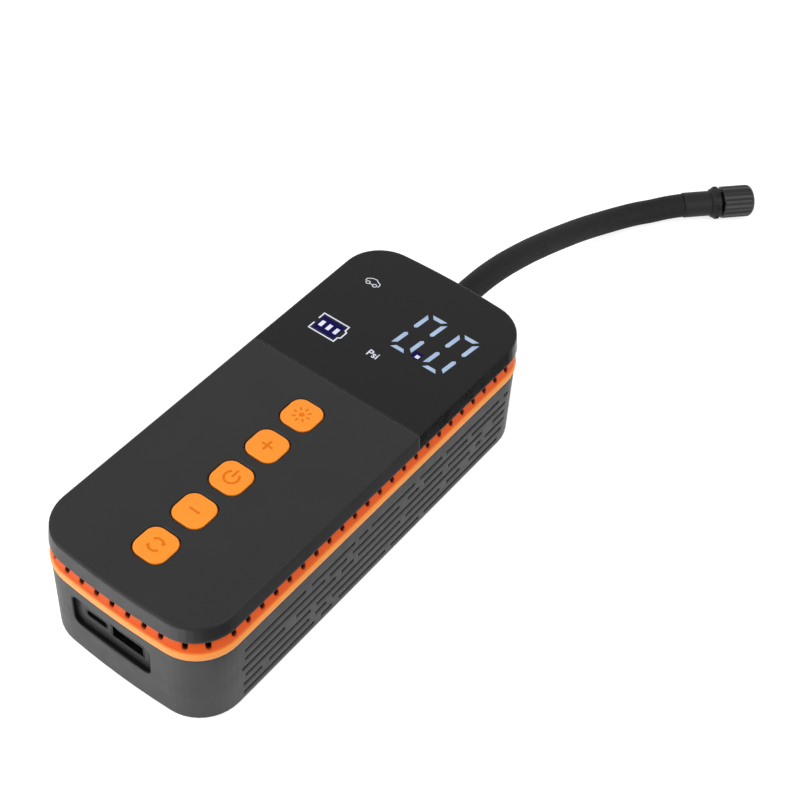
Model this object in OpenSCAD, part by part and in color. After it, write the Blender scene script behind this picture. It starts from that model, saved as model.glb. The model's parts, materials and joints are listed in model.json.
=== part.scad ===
// Portable tire inflator: a cordless air pump in a two-part housing with a vented ring between the halves.
// +Z is up, +Y points to the hose end, and the origin is on the table under the middle of the housing.

/* [Housing] */
// Length over the crowns of the two ends
body_length = 171.6; // [170:0.1:176]
// Width over the long sides
body_width = 70.4; // [69.6:0.1:74]
// Height from the table to the top of the cover
body_height = 47.2; // [47:0.1:50]
// Plan radius of the four upright corners
corner_radius = 15.6; // [15:0.1:16.2]
// Plan radius of the crowned ends
end_radius = 300; // [260:5:400]
// Wall of the lower case
case_wall = 2.2; // [2:0.1:2.4]
// Floor of the lower case
case_floor = 2; // [1.8:0.1:2.3]
// Fillet round the bottom edge of the lower case
case_fillet = 1.1; // [0.8:0.1:1.8]
// Height of the lower case's rim above the table
case_rim = 32; // [31.4:0.1:32.6]
// Radius of each rubber foot
foot_radius = 5; // [4:0.1:6]
// Height of the feet below the case
foot_lift = 0.6; // [0.4:0.1:1]

/* [Vent ring] */
// Height of the rounded lip above the case rim
lip_height = 3.5; // [3:0.1:4]
// How far the lip stands out past the case
lip_proud = 0.4; // [0.3:0.1:0.8]
// Radius of the cove above the lip
cove_radius = 12; // [11:0.5:14]
// Wall of the ring behind the cove
ring_wall = 1.2; // [1:0.1:1.5]
// Width of one vent slot
slot_width = 1.8; // [1.4:0.1:2.2]
// Distance between vent slots along the sides and ends
slot_pitch = 6.34; // [6.2:0.01:6.4]

/* [Side vents] */
// Height of one dash of the side vents
dash_height = 1.4; // [1:0.1:1.8]
// Distance between rows of dashes
dash_pitch = 4.22; // [4:0.01:4.4]
// Height of the lowest row above the table
dash_bottom = 4.4; // [4.2:0.1:5]

/* [Top cover] */
// Height of the cover's skirt, edge to top
cover_height = 6.9; // [6.4:0.1:7.2]
// How far the skirt leans in towards its top
skirt_draft = 0.65; // [0.4:0.05:0.8]
// Thickness of the cover's top plate
cover_plate = 2; // [1.8:0.1:2.2]
// Thickness of the cover's skirt
skirt_wall = 1.6; // [1.4:0.1:1.7]
// Thickness of the display window
window_thickness = 1.2; // [1:0.1:1.3]
// Where the display window starts, along the length
window_start = 19.5; // [17:0.1:22]

/* [Buttons] */
// Width of each square button cap
button_width = 12.2; // [11.6:0.1:12.8]
// Corner radius of a button cap
button_corner = 4; // [3.4:0.1:4.6]
// Distance between buttons
button_pitch = 17; // [16.4:0.1:17.4]
// Middle button's place along the length
button_middle = -31.6; // [-33:0.1:-31]
// How far a cap stands above the cover
button_proud = 0.3; // [0.2:0.1:0.8]
// Travel of a button
button_travel = 0.5; // [0.3:0.1:0.6]
// Gap round a cap
button_gap = 0.45; // [0.25:0.05:0.5]

/* [Port recess] */
// Width of the recess round the USB ports
recess_width = 32.4; // [31.6:0.1:33]
// Height of the recess
recess_height = 14; // [13:0.1:15]
// Corner radius of the recess
recess_corner = 3; // [2:0.1:4]
// Depth of the recess
recess_depth = 2.2; // [1.8:0.1:2.4]
// Middle of the recess across the width
recess_x = -2; // [-3:0.1:-1]
// Middle of the recess above the table
recess_z = 21; // [20.6:0.1:21.4]

/* [Battery] */
// Radius of a battery cell
cell_radius = 9.2; // [9:0.1:9.3]
// Length of a battery cell
cell_length = 65; // [63:0.1:66]
// Distance between cells
cell_pitch = 19; // [18.9:0.05:19.3]

/* [Pump] */
// Radius of the motor can
motor_radius = 13.8; // [13:0.1:14]
// Length of the motor can
motor_length = 37.8; // [36:0.1:38.4]
// Radius of the motor shaft
shaft_radius = 1.15; // [1:0.05:1.3]
// Module of the two gears
gear_module = 0.7; // [0.68:0.01:0.71]
// Face width of the drive gear
gear_width = 3.6; // [3:0.1:3.8]
// Radius at which the crank pin turns, which is half of the stroke
crank_radius = 4; // [3.6:0.1:4.2]
// Bore radius of the cylinder
cylinder_bore = 8; // [7.6:0.1:8.2]
// Wall of the cylinder
cylinder_wall = 2; // [1.6:0.1:2.2]
// Length of the rod from its eye to the piston's crown
rod_length = 23; // [22.4:0.1:23.2]

/* [Hose and chuck] */
// Diameter of the braided hose
hose_diameter = 9.5; // [9.2:0.1:9.8]
// Length of the hose gland outside the case
gland_length = 12; // [10:0.5:12.5]
// Radius of the gland's flange
gland_radius = 6.4; // [6.2:0.1:7]
// Radius of the chuck's flared collar
collar_radius = 6.6; // [6.2:0.1:6.6]
// Radius of the fluted cap
cap_radius = 6.5; // [6.2:0.1:6.6]
// Number of flutes on the cap
cap_flutes = 14; // [10:1:18]
// Bore radius of the cap, for a car tire valve
valve_bore = 3.9; // [3.85:0.05:4]
// Length of the thumb cap
cap_length = 13.2; // [12.8:0.1:14]

/* [Lamp] */
// Radius of the lamp lens
lamp_radius = 5.5; // [4.5:0.1:5.8]
// Lamp's place across the width
lamp_x = 16; // [15:0.1:16.4]
// Lamp's height above the table
lamp_z = 20; // [17:0.1:21]

/* [Hidden] */
$fn = 40;
corner_steps = 10;
end_steps = 6;
overcut = 1;
touch = 0.01;
fit_gap = 0.3;
slip = 0.05;
snug = 0.02;

// Plan outline: straight sides, four round corners and two crowned ends, all tangent.
corner_x = body_width / 2 - corner_radius;
end_y = body_length / 2 - end_radius;
corner_y = end_y + sqrt(pow(end_radius - corner_radius, 2) - corner_x * corner_x);
end_angle = acos(corner_x / (end_radius - corner_radius));

// Heights of the shells
cover_under = body_height - cover_plate;
skirt_edge = body_height - cover_height;
floor_top = foot_lift + case_floor;
case_levels = concat(
    [for (i = [0 : 4]) let (a = -90 + 22.5 * i)
        [-case_fillet + case_fillet * cos(a), foot_lift + case_fillet + case_fillet * sin(a)]],
    [[0, case_rim]]);
cover_edge = 0.8;
cover_round = 0.35;
cover_levels = [[-cover_edge, skirt_edge], [-0.3 * cover_edge, skirt_edge + 0.3 * cover_edge],
    [0, skirt_edge + cover_edge], [-skirt_draft, body_height - cover_round],
    [-skirt_draft - 0.3 * cover_round, body_height - 0.3 * cover_round],
    [-skirt_draft - cover_round, body_height]];

// The vent ring, one wall throughout: a tongue behind the case rim, a rounded lip, and a cove that leans in
// under the skirt
cove_sweep = 35;
cove_out = cove_radius * cos(cove_sweep);
cove_z = case_rim + lip_height + cove_radius * sin(cove_sweep);
back_radius = cove_radius + ring_wall;
ring_back = cove_out - back_radius;
tongue_depth = 1.3;
tongue_out = -case_wall - fit_gap;
ring_section = concat(
    [[ring_back, case_rim - tongue_depth], [tongue_out, case_rim - tongue_depth], [tongue_out, case_rim]],
    [for (i = [0 : 6]) [lip_proud * sin(30 * i), case_rim + lip_height * i / 6]],
    [for (i = [1 : 5]) let (a = 180 + cove_sweep * (1 - i / 5))
        [cove_out + cove_radius * cos(a), cove_z + cove_radius * sin(a)]],
    [[cove_out - cove_radius, cover_under], [ring_back, cover_under]],
    [for (i = [0 : 3]) let (a = 180 + cove_sweep * i / 3)
        [cove_out + back_radius * cos(a), cove_z + back_radius * sin(a)]],
    [[cove_out - back_radius * cos(cove_sweep), case_rim + ring_wall], [ring_back, case_rim + ring_wall]]);
slot_foot = case_rim + lip_height + 0.85;
slot_top = skirt_edge + 2;
slot_reach = 4.6;
slot_depth = 7;
side_slots = 23;
end_slots = 7;
end_slot_shift = 0.6;
corner_slots = [0.41, 0.73];

// Screw bosses, one in each corner
boss_inset = 7.6;
boss_angle = 42;
boss_x = corner_x + (corner_radius - boss_inset) * cos(boss_angle);
boss_y = corner_y + (corner_radius - boss_inset) * sin(boss_angle);
boss_radius = 3.8;
boss_top = 27;
post_radius = 3.25;
screw_radius = 1.25;
screw_head = 2.5;
screw_seat = 16;
screw_bite = 7;

// Feet
foot_x = body_width / 2 - 13;
foot_y = body_length / 2 - 28;
foot_recess = 0.8;

// Rows of dashes in the long sides, from the lowest up: start and end of each dash along Y
dash_rows = [
    [[-67.5, -33.5], [-30, -24.5], [-21, 3.5], [6.5, 22], [25, 68]],
    [[-67.5, -59], [-55.5, -36], [-33, -27.5], [-24.5, 33.5], [37.5, 45], [50.5, 70]],
    [[-66.5, -35.5], [-32.5, 11], [14, 50.5], [54, 57], [59.5, 71]],
    [[-68, -48], [-42.5, -23], [-20, -14], [-11.5, 34], [37.5, 57], [63.5, 70.5]],
    [[-66.5, -28.5], [-26, -17.5], [-14.5, 10], [14.5, 20.5], [23.5, 48], [50.5, 70.5]],
    [[-66.5, -38], [-35, -13.5], [-11.5, -7], [-5, 18], [21, 33], [35.5, 66], [69, 71.5]]];

// Ports: middles of the two sockets, their sizes, and the board that they hang from
port_face = -body_length / 2 + recess_depth;
usb_z = recess_z - 0.6;
usb_c_x = recess_x - 7.6;
usb_c_size = [8.94, 3.26];
usb_c_deep = 7.4;
usb_a_x = recess_x + 5.2;
usb_a_size = [13.1, 5.7];
usb_a_deep = 13.6;
usb_a_corner = 0.5;
shell_wall = 0.3;
socket_gap = 0.2;
pad_wall = 2.2;

// Lamp, set back from the crowned end so that the lens lies flush
lamp_back = end_y + sqrt(end_radius * end_radius - lamp_x * lamp_x) - 4.8;

// Boards
board_thickness = 1.6;
cell_middle = 49.8 - body_length / 2;
main_under = usb_z + usb_a_size[1] / 2;
main_top = main_under + board_thickness;
main_front = port_face + pad_wall + fit_gap;
main_back = cell_middle + 40.5;
main_half = 21.2;
standoff = 5.6;
control_top = cover_under - standoff;
control_under = control_top - board_thickness;
control_half = 21.4;
control_y = body_length / 2 - 10.8;
standoff_x = 18.8;
standoff_front = 19.8 - body_length / 2;
standoff_middle = window_start - 7.5;
standoff_places = [[-standoff_x, standoff_front], [standoff_x, standoff_front],
    [-standoff_x, standoff_middle], [standoff_x, standoff_middle], [-10, control_y - 4], [10, control_y - 4]];

// Buttons
button_count = 5;
button_flange = 1.2;
button_edge = 0.4;
stem_radius = 1.5;
flange_width = button_width + 2.2;
flange_top = cover_under - fit_gap;
button_top = body_height + button_proud;
switch_size = 6;
switch_height = 2.6;
plunger_height = 0.5;
plunger_radius = 1.7;
stem_foot = control_top + switch_height + plunger_height + button_travel + 0.1;

// Display: the light box, two figures and the battery mark
display_half = 24.5;
display_front = 32;
display_back = body_length / 2 - 19.3;
display_drop = 0.3;
well_depth = 2;
figure_size = [9, 20];
figure_places = [[1.4, display_front + 11.4], [13.6, display_front + 11.4]];
mark_size = [11, 8];
mark_place = [0.9 - display_half, display_front + 2.6];

// Battery
cell_z = floor_top + 1 + cell_radius;
tray_height = 6.5;
saddle_gap = 0.15;
link_thickness = 0.3;
board_post = 2.3;
post_front = cell_middle - cell_length / 2 - 5.1;
post_places = [[-18, post_front], [18, post_front], [-18, main_back - 3.3], [18, main_back - 3.3]];

// Parts on the power board: places across the board and from the middle of the cells
coil_place = [-9, cell_middle - 16];
coil_radius = 6;
coil_core = 2.4;
coil_height = 5;
capacitor_places = [[4, cell_middle - 20], [12, cell_middle - 20]];
capacitor_radius = 3.15;
capacitor_height = 7.7;
driver_places = [-14, -5, 4, 13];
driver_size = [6.4, 6.2, 2.3];
chip_place = [-4, cell_middle + 14];
chip_size = [9, 9, 1.2];
plug_places = [[10, cell_middle + 22], [-16, cell_middle + 20]];
plug_size = [7.5, 5, 5.5];
sensor_place = [-13, cell_middle + 32, main_top];
sensor_size = [7, 7, 3];
sensor_nipple = 1.1;
sensor_top = 5.6;

// Pump: the motor and the gear turn about X, and the piston slides along Y
motor_y = body_length / 2 - 65.6;
motor_face = 6.5;
can_wall = 1.2;
motor_rear = motor_face - motor_length;
armature_radius = motor_radius - 4.2;
winding_radius = 4;
pinion_teeth = 12;
gear_teeth = 38;
pressure_angle = 25;
backlash = 0.1;
gear_reach = gear_module * (pinion_teeth + gear_teeth) / 2;
gear_tip = gear_module * (gear_teeth / 2 + 1);
pump_z = floor_top + 1.3 + gear_tip;
gear_y = motor_y + gear_reach;
plate = 2.2;
gear_x = motor_face + plate + 0.9;
axle_radius = 1.5;
pin_radius = 1.6;
rod_gap = 0.3;
pin_tip = gear_x + gear_width + 1.3;
rod_thickness = 3.4;
rod_x = pin_tip + rod_gap + rod_thickness / 2;
eye_radius = 4.5;
bush_radius = 2.6;
eye_y = gear_y - crank_radius;
crown_y = eye_y + rod_length;
piston_height = 4.6;
piston_radius = cylinder_bore - 0.3;
ring_groove = 6.6;
ring_height = 1.9;
stroke = 2 * crank_radius;
cylinder_foot = crown_y - piston_height - 0.6;
cylinder_top = crown_y + stroke + 1;
head_height = 5;
head_screw_x = 4;
head_screw_z = 8.9;
head_flange = 3;
pump_foot_z = floor_top + 3;
pump_foot_radius = 3;
pump_feet = [[motor_face + plate + 4.9, motor_y - 10.7], [motor_face - 6.5, gear_y + 8.1]];
head_radius = cylinder_bore + cylinder_wall + 1.6;
flange_y = cylinder_foot + 0.6;
flange_thick = 2.4;
frame_front = motor_y - 14.2;
frame_foot = 2;

// Hose: exit, gland and route of the centreline, hand-laid from the gland down to the table and the chuck
gland_x = -5;
gland_z = 25;
gland_neck = 5;
gland_y = body_length / 2;
gland_socket = 3;
gland_root = 9;
gland_bore = 2.4;
gland_nut_radius = gland_neck + 1;
gland_nut_height = 3;
gland_nut_front = end_y + sqrt(pow(end_radius - case_wall, 2) - pow(gland_x - gland_nut_radius, 2)) - slip;
gland_tip = hose_diameter / 2 + 0.6;
gland_ribs = floor(gland_length / 3) - 1;
hose_route = [[-5, 94.8, 25], [-5, 98.5, 25], [-5, 102.5, 25], [-5, 107, 24.9], [-5, 112, 24.6],
    [-4.9, 118, 24], [-4.6, 126, 22.8], [-4.2, 134, 21.1], [-3.8, 142, 19.1], [-3.2, 150, 16.9],
    [-2.6, 158, 14.5], [-1.8, 166, 12.1], [-0.8, 174, 9.8], [0.6, 181.5, 7.8], [2.6, 189, 6.1],
    [5.6, 197, 5], [9.2, 203.4, 4.9], [13, 208.4, 5.2], [17.2, 213.4, 6.1], [21.6, 218.3, 6.7]];
hose_sides = 10;
chuck_start = [21.6, 218.3, 6.7];
chuck_turn = 47.1;
chuck_axis = [cos(chuck_turn), sin(chuck_turn), 0];
sleeve_length = 11.4;
sleeve_radius = 5.05;
collar_length = 3.6;
groove_length = 1.2;
spigot_radius = 4.15;
sleeve_socket = 5;
cap_start = sleeve_length + collar_length + groove_length;
spigot_end = cap_start + 4;
seal_height = 1.5;
seal_end = spigot_end + seal_height + 0.1;
cap_round = 2.6;
flute_depth = 0.35;

// Air lines: from the head's barb to the gland, and from the sensor's nipple over the battery to the outlet
barb = [rod_x - head_radius - 3.6, cylinder_top + 3, pump_z];
outlet_route = [barb + [-0.2, 0, 0], [-1, barb[1], barb[2]], [-2.4, barb[1] + 0.3, barb[2] + 0.4],
    [-3.6, barb[1] + 1, barb[2] + 1.5], [-4.5, barb[1] + 2, barb[2] + 3],
    [-4.9, barb[1] + 3.2, barb[2] + 4.6], [-5, barb[1] + 4.8, gland_z - 1.2],
    [gland_x, gland_y - 10.2, gland_z]];
sensor_run = control_under - 2.2;
sensor_route = [sensor_place + [0, 0, sensor_top + 0.2], sensor_place + [0, 0.6, sensor_top + 3.5],
    [-13, sensor_place[1] + 6, sensor_run - 0.4], [-13, 12, sensor_run], [-13, 34, sensor_run],
    [-13, 48, sensor_run - 0.4], [-12.4, 58, 33.4], [-11, 66, 30.6], [-9, 71.6, 27.6], [-7.8, 73.4, 26.4]];

// A point of the plan outline moved outwards by d, on an arc of the given middle, radius and angle
function arc_point(x, y, r, a) = [x + r * cos(a), y + r * sin(a)];
function half_outline(d) = concat(
    [for (i = [0 : corner_steps])
        arc_point(corner_x, corner_y, corner_radius + d, end_angle * i / corner_steps)],
    [for (i = [1 : end_steps - 1])
        arc_point(0, end_y, end_radius + d, end_angle + (180 - 2 * end_angle) * i / end_steps)],
    [for (i = [0 : corner_steps])
        arc_point(-corner_x, corner_y, corner_radius + d, 180 - end_angle + end_angle * i / corner_steps)]);
function outline(d) = concat(half_outline(d), -half_outline(d));

// A rectangle with round corners, as points
function rounded(w, h, r, steps = 6) = [for (q = [0 : 3], i = [0 : steps])
    let (a = 90 * q + 90 * i / steps,
        sx = (q == 0 || q == 3) ? 1 : -1,
        sy = (q < 2) ? 1 : -1)
    [sx * (w / 2 - r) + r * cos(a), sy * (h / 2 - r) + r * sin(a)]];

// Lifts a list of flat points to a height
function lifted(points, z) = [for (p = points) [p[0], p[1], z]];

// Skins a closed solid through rings of points, all of one length, from the lowest up
module skin_rings(rings) {
    n = len(rings[0]);
    last = len(rings) - 1;
    polyhedron(
        points = [for (r = rings) each r],
        faces = concat(
            [[for (i = [0 : n - 1]) i]],
            [for (k = [0 : last - 1], i = [0 : n - 1])
                [k * n + i, (k + 1) * n + i, (k + 1) * n + (i + 1) % n, k * n + (i + 1) % n]],
            [[for (i = [n - 1 : -1 : 0]) last * n + i]]));
}

// A solid that follows the plan outline, through [offset, height] levels
module shell_solid(levels) {
    skin_rings([for (l = levels) lifted(outline(l[0]), l[1])]);
}

// A closed band whose cross-section is a loop of [offset, height] points, all round the plan outline
module outline_band(section) {
    n = len(outline(0));
    m = len(section);
    polyhedron(
        points = [for (s = section) each lifted(outline(s[0]), s[1])],
        faces = [for (k = [0 : m - 1], i = [0 : n - 1])
            [k * n + i, ((k + 1) % m) * n + i, ((k + 1) % m) * n + (i + 1) % n, k * n + (i + 1) % n]]);
}

// A tube through a list of points, with its rings square to the path
function unit(v) = v / norm(v);
function tangent(path, i) = unit(path[min(i + 1, len(path) - 1)] - path[max(i - 1, 0)]);
module swept_tube(path, r, sides, first = undef, final = undef) {
    last = len(path) - 1;
    skin_rings([for (i = [0 : last])
        let (t = (i == 0 && first != undef) ? first
                : (i == last && final != undef) ? final : tangent(path, i),
            side = unit(cross(t, [0, 0, 1])),
            up = cross(side, t))
        [for (k = [0 : sides - 1])
            path[i] + r * cos(360 * k / sides) * side - r * sin(360 * k / sides) * up]]);
}

module square_tube(w, h, wall, corner, length) {
    linear_extrude(length) difference() {
        polygon(rounded(w, h, corner));
        polygon(rounded(w - 2 * wall, h - 2 * wall, corner - wall));
    }
}

// Puts children on all four quadrants
module four(x, y) {
    for (sx = [-1, 1], sy = [-1, 1]) translate([sx * x, sy * y, 0]) children();
}

// ---------- Housing ----------

module side_dashes() {
    for (side = [-1, 1], row = [0 : len(dash_rows) - 1], dash = dash_rows[row])
        translate([side * body_width / 2 - case_wall - overcut,
                dash[0],
                dash_bottom + row * dash_pitch - dash_height / 2])
            cube([2 * (case_wall + overcut), dash[1] - dash[0], dash_height]);
}

module port_cuts() {
    translate([recess_x, port_face, recess_z]) rotate([90, 0, 0])
        linear_extrude(recess_depth + overcut) polygon(rounded(recess_width, recess_height, recess_corner));
    translate([usb_c_x, port_face + pad_wall + overcut, usb_z]) rotate([90, 0, 0])
        linear_extrude(pad_wall + 2 * overcut)
            polygon(rounded(usb_c_size[0] + 2 * socket_gap, usb_c_size[1] + 2 * socket_gap,
                usb_c_size[1] / 2 + socket_gap - touch));
    translate([usb_a_x, port_face + pad_wall + overcut, usb_z]) rotate([90, 0, 0])
        linear_extrude(pad_wall + 2 * overcut)
            polygon(rounded(usb_a_size[0] + 2 * socket_gap, usb_a_size[1] + 2 * socket_gap,
                usb_a_corner + socket_gap));
}

module bottom_case() color([0.36, 0.36, 0.37]) difference() {
    union() {
        difference() {
            shell_solid(case_levels);
            shell_solid([[-case_wall, floor_top], [-case_wall, case_rim + overcut]]);
        }
        translate([recess_x - recess_width / 2 - 2, -body_length / 2 + 2, recess_z - recess_height / 2 - 2])
            cube([recess_width + 4, port_face + pad_wall + body_length / 2 - 2, recess_height + 4]);
        four(boss_x, boss_y) translate([0, 0, floor_top - touch])
            cylinder(r = boss_radius, h = boss_top - floor_top + touch);
        for (p = post_places) translate([p[0], p[1], floor_top - touch])
            cylinder(r = board_post, h = main_under - floor_top + touch);
        for (p = pump_feet) translate([p[0], p[1], floor_top - touch])
            cylinder(r = pump_foot_radius, h = pump_foot_z - floor_top + touch);
    }
    four(boss_x, boss_y) {
        translate([0, 0, foot_lift - overcut])
            cylinder(r = screw_head + 0.3, h = screw_seat - foot_lift + overcut);
        cylinder(r = screw_radius + 0.25, h = boss_top + overcut);
    }
    four(foot_x, foot_y) translate([0, 0, foot_lift - overcut])
        cylinder(r = foot_radius + slip, h = foot_recess + overcut);
    for (p = post_places) translate([p[0], p[1], main_under - 6])
        cylinder(r = 0.95, h = 6 + overcut);
    for (p = pump_feet) translate([p[0], p[1], floor_top])
        cylinder(r = screw_radius + slip, h = pump_foot_z - floor_top + overcut);
    port_cuts();
    side_dashes();
    translate([gland_x, gland_y - 8, gland_z]) rotate([-90, 0, 0]) cylinder(r = gland_neck + 0.2, h = 10);
    translate([lamp_x, gland_y - 8, lamp_z]) rotate([-90, 0, 0]) cylinder(r = lamp_radius + 0.2, h = 10);
}

module vent_slot() {
    points = concat(
        [for (i = [0 : 6]) let (a = 180 + 30 * i)
            [slot_width / 2 * cos(a), slot_foot + slot_width / 2 + slot_width / 2 * sin(a)]],
        [[slot_width / 2, slot_top], [-slot_width / 2, slot_top]]);
    translate([0, -overcut, 0]) rotate([90, 0, 180]) linear_extrude(slot_depth) polygon(points);
}

module vent_slots() {
    for (side = [0, 180]) rotate([0, 0, side]) {
        for (i = [0 : side_slots - 1])
            translate([body_width / 2 - slot_reach, (i - (side_slots - 1) / 2) * slot_pitch, 0])
                rotate([0, 0, -90]) vent_slot();
        for (i = [0 : end_slots - 1])
            let (x = (i - (end_slots - 1) / 2) * slot_pitch + end_slot_shift, a = asin(x / end_radius))
            translate([0, end_y, 0]) rotate([0, 0, -a])
                translate([0, end_radius - slot_reach, 0]) vent_slot();
        for (q = [-1, 1], share = corner_slots)
            translate([q * corner_x, corner_y, 0]) rotate([0, 0, -q * (90 - end_angle * share)])
                translate([0, corner_radius - slot_reach, 0]) vent_slot();
    }
}

module vent_ring() color([1, 0.45, 0.13]) difference() {
    outline_band(ring_section);
    vent_slots();
}

// Everything behind the line where the display window starts
module window_side(low) {
    translate([-body_width, window_start, low]) cube([2 * body_width, body_length, body_height]);
}

module top_cover() color([0.18, 0.18, 0.19]) {
    difference() {
        shell_solid(cover_levels);
        shell_solid([[-skirt_wall, skirt_edge - overcut], [-skirt_wall, cover_under]]);
        difference() {
            window_side(skirt_edge - overcut);
            shell_solid([[-skirt_wall, skirt_edge - 2 * overcut],
                [-skirt_wall, body_height - window_thickness]]);
        }
        for (i = [0 : button_count - 1]) translate([0, button_y(i), cover_under - overcut])
            linear_extrude(cover_plate + 2 * overcut)
                polygon(rounded(button_width + 2 * button_gap, button_width + 2 * button_gap,
                    button_corner + button_gap));
        translate([-display_half, display_front, cover_under - overcut])
            cube([2 * display_half, display_back - display_front, cover_plate]);
    }
    four(boss_x, boss_y) translate([0, 0, boss_top]) difference() {
        cylinder(r = post_radius, h = cover_under - boss_top + touch);
        translate([0, 0, -overcut]) cylinder(r = screw_radius + slip, h = screw_bite + 1 + overcut);
    }
    for (p = standoff_places) translate([p[0], p[1], control_top]) difference() {
        cylinder(r = 2.2, h = standoff + touch);
        translate([0, 0, -overcut]) cylinder(r = 0.95, h = 4 + overcut);
    }
}

module display_window() color([0.12, 0.12, 0.13]) difference() {
    intersection() {
        shell_solid(cover_levels);
        window_side(skirt_edge - overcut);
    }
    shell_solid([[-skirt_wall, skirt_edge - overcut], [-skirt_wall, body_height - window_thickness]]);
}

// ---------- Buttons and the control board ----------

function button_y(i) = button_middle + ((button_count - 1) / 2 - i) * button_pitch;

// One level of a square button with round corners
function square_ring(w, r, z) = lifted(rounded(w, w, r), z);

module button(i) color([1, 0.6, 0.2]) translate([0, button_y(i), 0]) {
    skin_rings([square_ring(flange_width, button_corner + 1, flange_top - button_flange),
        square_ring(flange_width, button_corner + 1, flange_top),
        square_ring(button_width, button_corner, flange_top),
        square_ring(button_width, button_corner, button_top - button_edge),
        square_ring(button_width - 0.3 * button_edge, button_corner, button_top - 0.3 * button_edge),
        square_ring(button_width - 2 * button_edge, button_corner - button_edge, button_top)]);
    translate([0, 0, stem_foot])
        cylinder(r = stem_radius, h = flange_top - button_flange - stem_foot + touch);
}
module button_light() button(0);
module button_plus() button(1);
module button_power() button(2);
module button_minus() button(3);
module button_mode() button(4);

module control_board() color([0.05, 0.3, 0.16]) difference() {
    translate([0, 0, control_under]) linear_extrude(board_thickness)
        polygon(rounded(2 * control_half, 2 * control_y, 2));
    for (p = standoff_places) translate([p[0], p[1], control_under - overcut])
        cylinder(r = 1.1, h = board_thickness + 2 * overcut);
}

module tact_switches() color([0.25, 0.25, 0.26])
    for (i = [0 : button_count - 1]) translate([0, button_y(i), control_top]) {
        translate([-switch_size / 2, -switch_size / 2, 0]) cube([switch_size, switch_size, switch_height]);
        cylinder(r = plunger_radius, h = switch_height + plunger_height);
    }

// One seven-segment figure, as light wells, drawn from its lower left corner
module figure_wells(w, h) {
    bar = 1.9;
    gap = 0.5;
    for (y = [bar / 2, h / 2, h - bar / 2])
        translate([bar + gap, y - bar / 2]) square([w - 2 * bar - 2 * gap, bar]);
    for (x = [0, w - bar], y = [bar + gap, h / 2 + bar / 2 + gap])
        translate([x, y]) square([bar, h / 2 - 1.5 * bar - 2 * gap]);
}

module display_module() color([0.75, 0.76, 0.78]) difference() {
    translate([-display_half + fit_gap, display_front + fit_gap, control_top])
        cube([2 * display_half - 2 * fit_gap, display_back - display_front - 2 * fit_gap,
            body_height - window_thickness - display_drop - control_top]);
    translate([0, 0, body_height - window_thickness - display_drop - well_depth])
        linear_extrude(well_depth + overcut) {
            for (place = figure_places) translate(place) figure_wells(figure_size[0], figure_size[1]);
            translate(mark_place) square(mark_size);
        }
}

module main_board() color([0.05, 0.3, 0.16]) difference() {
    translate([-main_half, main_front, main_under])
        cube([2 * main_half, main_back - main_front, board_thickness]);
    for (p = post_places) translate([p[0], p[1], main_under - overcut])
        cylinder(r = 1.1, h = board_thickness + 2 * overcut);
}

module board_parts() color([0.2, 0.2, 0.22]) translate([0, 0, main_top]) {
    translate(coil_place) difference() {
        cylinder(r = coil_radius, h = coil_height);
        translate([0, 0, -overcut]) cylinder(r = coil_core, h = coil_height + 2 * overcut);
    }
    for (place = capacitor_places) translate(place) cylinder(r = capacitor_radius, h = capacitor_height);
    for (x = driver_places) translate([x - driver_size[0] / 2, cell_middle, 0]) cube(driver_size);
    translate(chip_place) cube(chip_size);
    for (place = plug_places) translate(place) cube(plug_size);
}

module pressure_sensor() color([0.15, 0.15, 0.16]) translate(sensor_place) {
    translate([-sensor_size[0] / 2, -sensor_size[1] / 2, 0]) cube(sensor_size);
    cylinder(r = sensor_nipple, h = sensor_top);
}

// ---------- Ports ----------

module usb_c_shell() color([0.75, 0.76, 0.78]) {
    translate([usb_c_x, port_face + usb_c_deep, usb_z]) rotate([90, 0, 0])
        square_tube(usb_c_size[0], usb_c_size[1], shell_wall, usb_c_size[1] / 2 - touch, usb_c_deep);
    for (x = [-3.6, 3.2], y = [3.2, 5.8])
        translate([usb_c_x + x - 0.2, port_face + y, usb_z + usb_c_size[1] / 2 - 2 * touch])
            cube([0.8, 1, main_under - usb_z - usb_c_size[1] / 2 + 2 * touch]);
}

module usb_c_tongue() color([0.08, 0.08, 0.09]) {
    translate([usb_c_x - 3.35, port_face + 1, usb_z - 0.35]) cube([6.7, usb_c_deep - 2, 0.7]);
    translate([usb_c_x, port_face + usb_c_deep, usb_z]) rotate([90, 0, 0]) linear_extrude(1.2)
        polygon(rounded(usb_c_size[0] - 2 * shell_wall, usb_c_size[1] - 2 * shell_wall,
            usb_c_size[1] / 2 - shell_wall - touch));
}

module usb_a_shell() color([0.75, 0.76, 0.78])
    translate([usb_a_x, port_face + usb_a_deep, usb_z]) rotate([90, 0, 0])
        square_tube(usb_a_size[0], usb_a_size[1], shell_wall, usb_a_corner, usb_a_deep);

module usb_a_tongue() color([0.1, 0.1, 0.11]) {
    translate([usb_a_x - 5.6, port_face + 0.8, usb_z + 0.3]) cube([11.2, usb_a_deep - 1, 1.9]);
    translate([usb_a_x, port_face + usb_a_deep, usb_z]) rotate([90, 0, 0]) linear_extrude(2)
        polygon(rounded(usb_a_size[0] - 2 * shell_wall, usb_a_size[1] - 2 * shell_wall,
            usb_a_corner - shell_wall));
}

// ---------- Battery ----------

module battery_tray() color([0.12, 0.12, 0.13]) difference() {
    width = 2 * cell_pitch + 2 * cell_radius + 2.6;
    translate([-width / 2, cell_middle - cell_length / 2 - 1.6, floor_top])
        cube([width, cell_length + 3.2, tray_height]);
    for (x = [-1, 0, 1])
        translate([x * cell_pitch, cell_middle - cell_length / 2 - link_thickness - 0.2, cell_z])
            rotate([-90, 0, 0])
                cylinder(r = cell_radius + saddle_gap, h = cell_length + 2 * link_thickness + 0.4);
}

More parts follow.
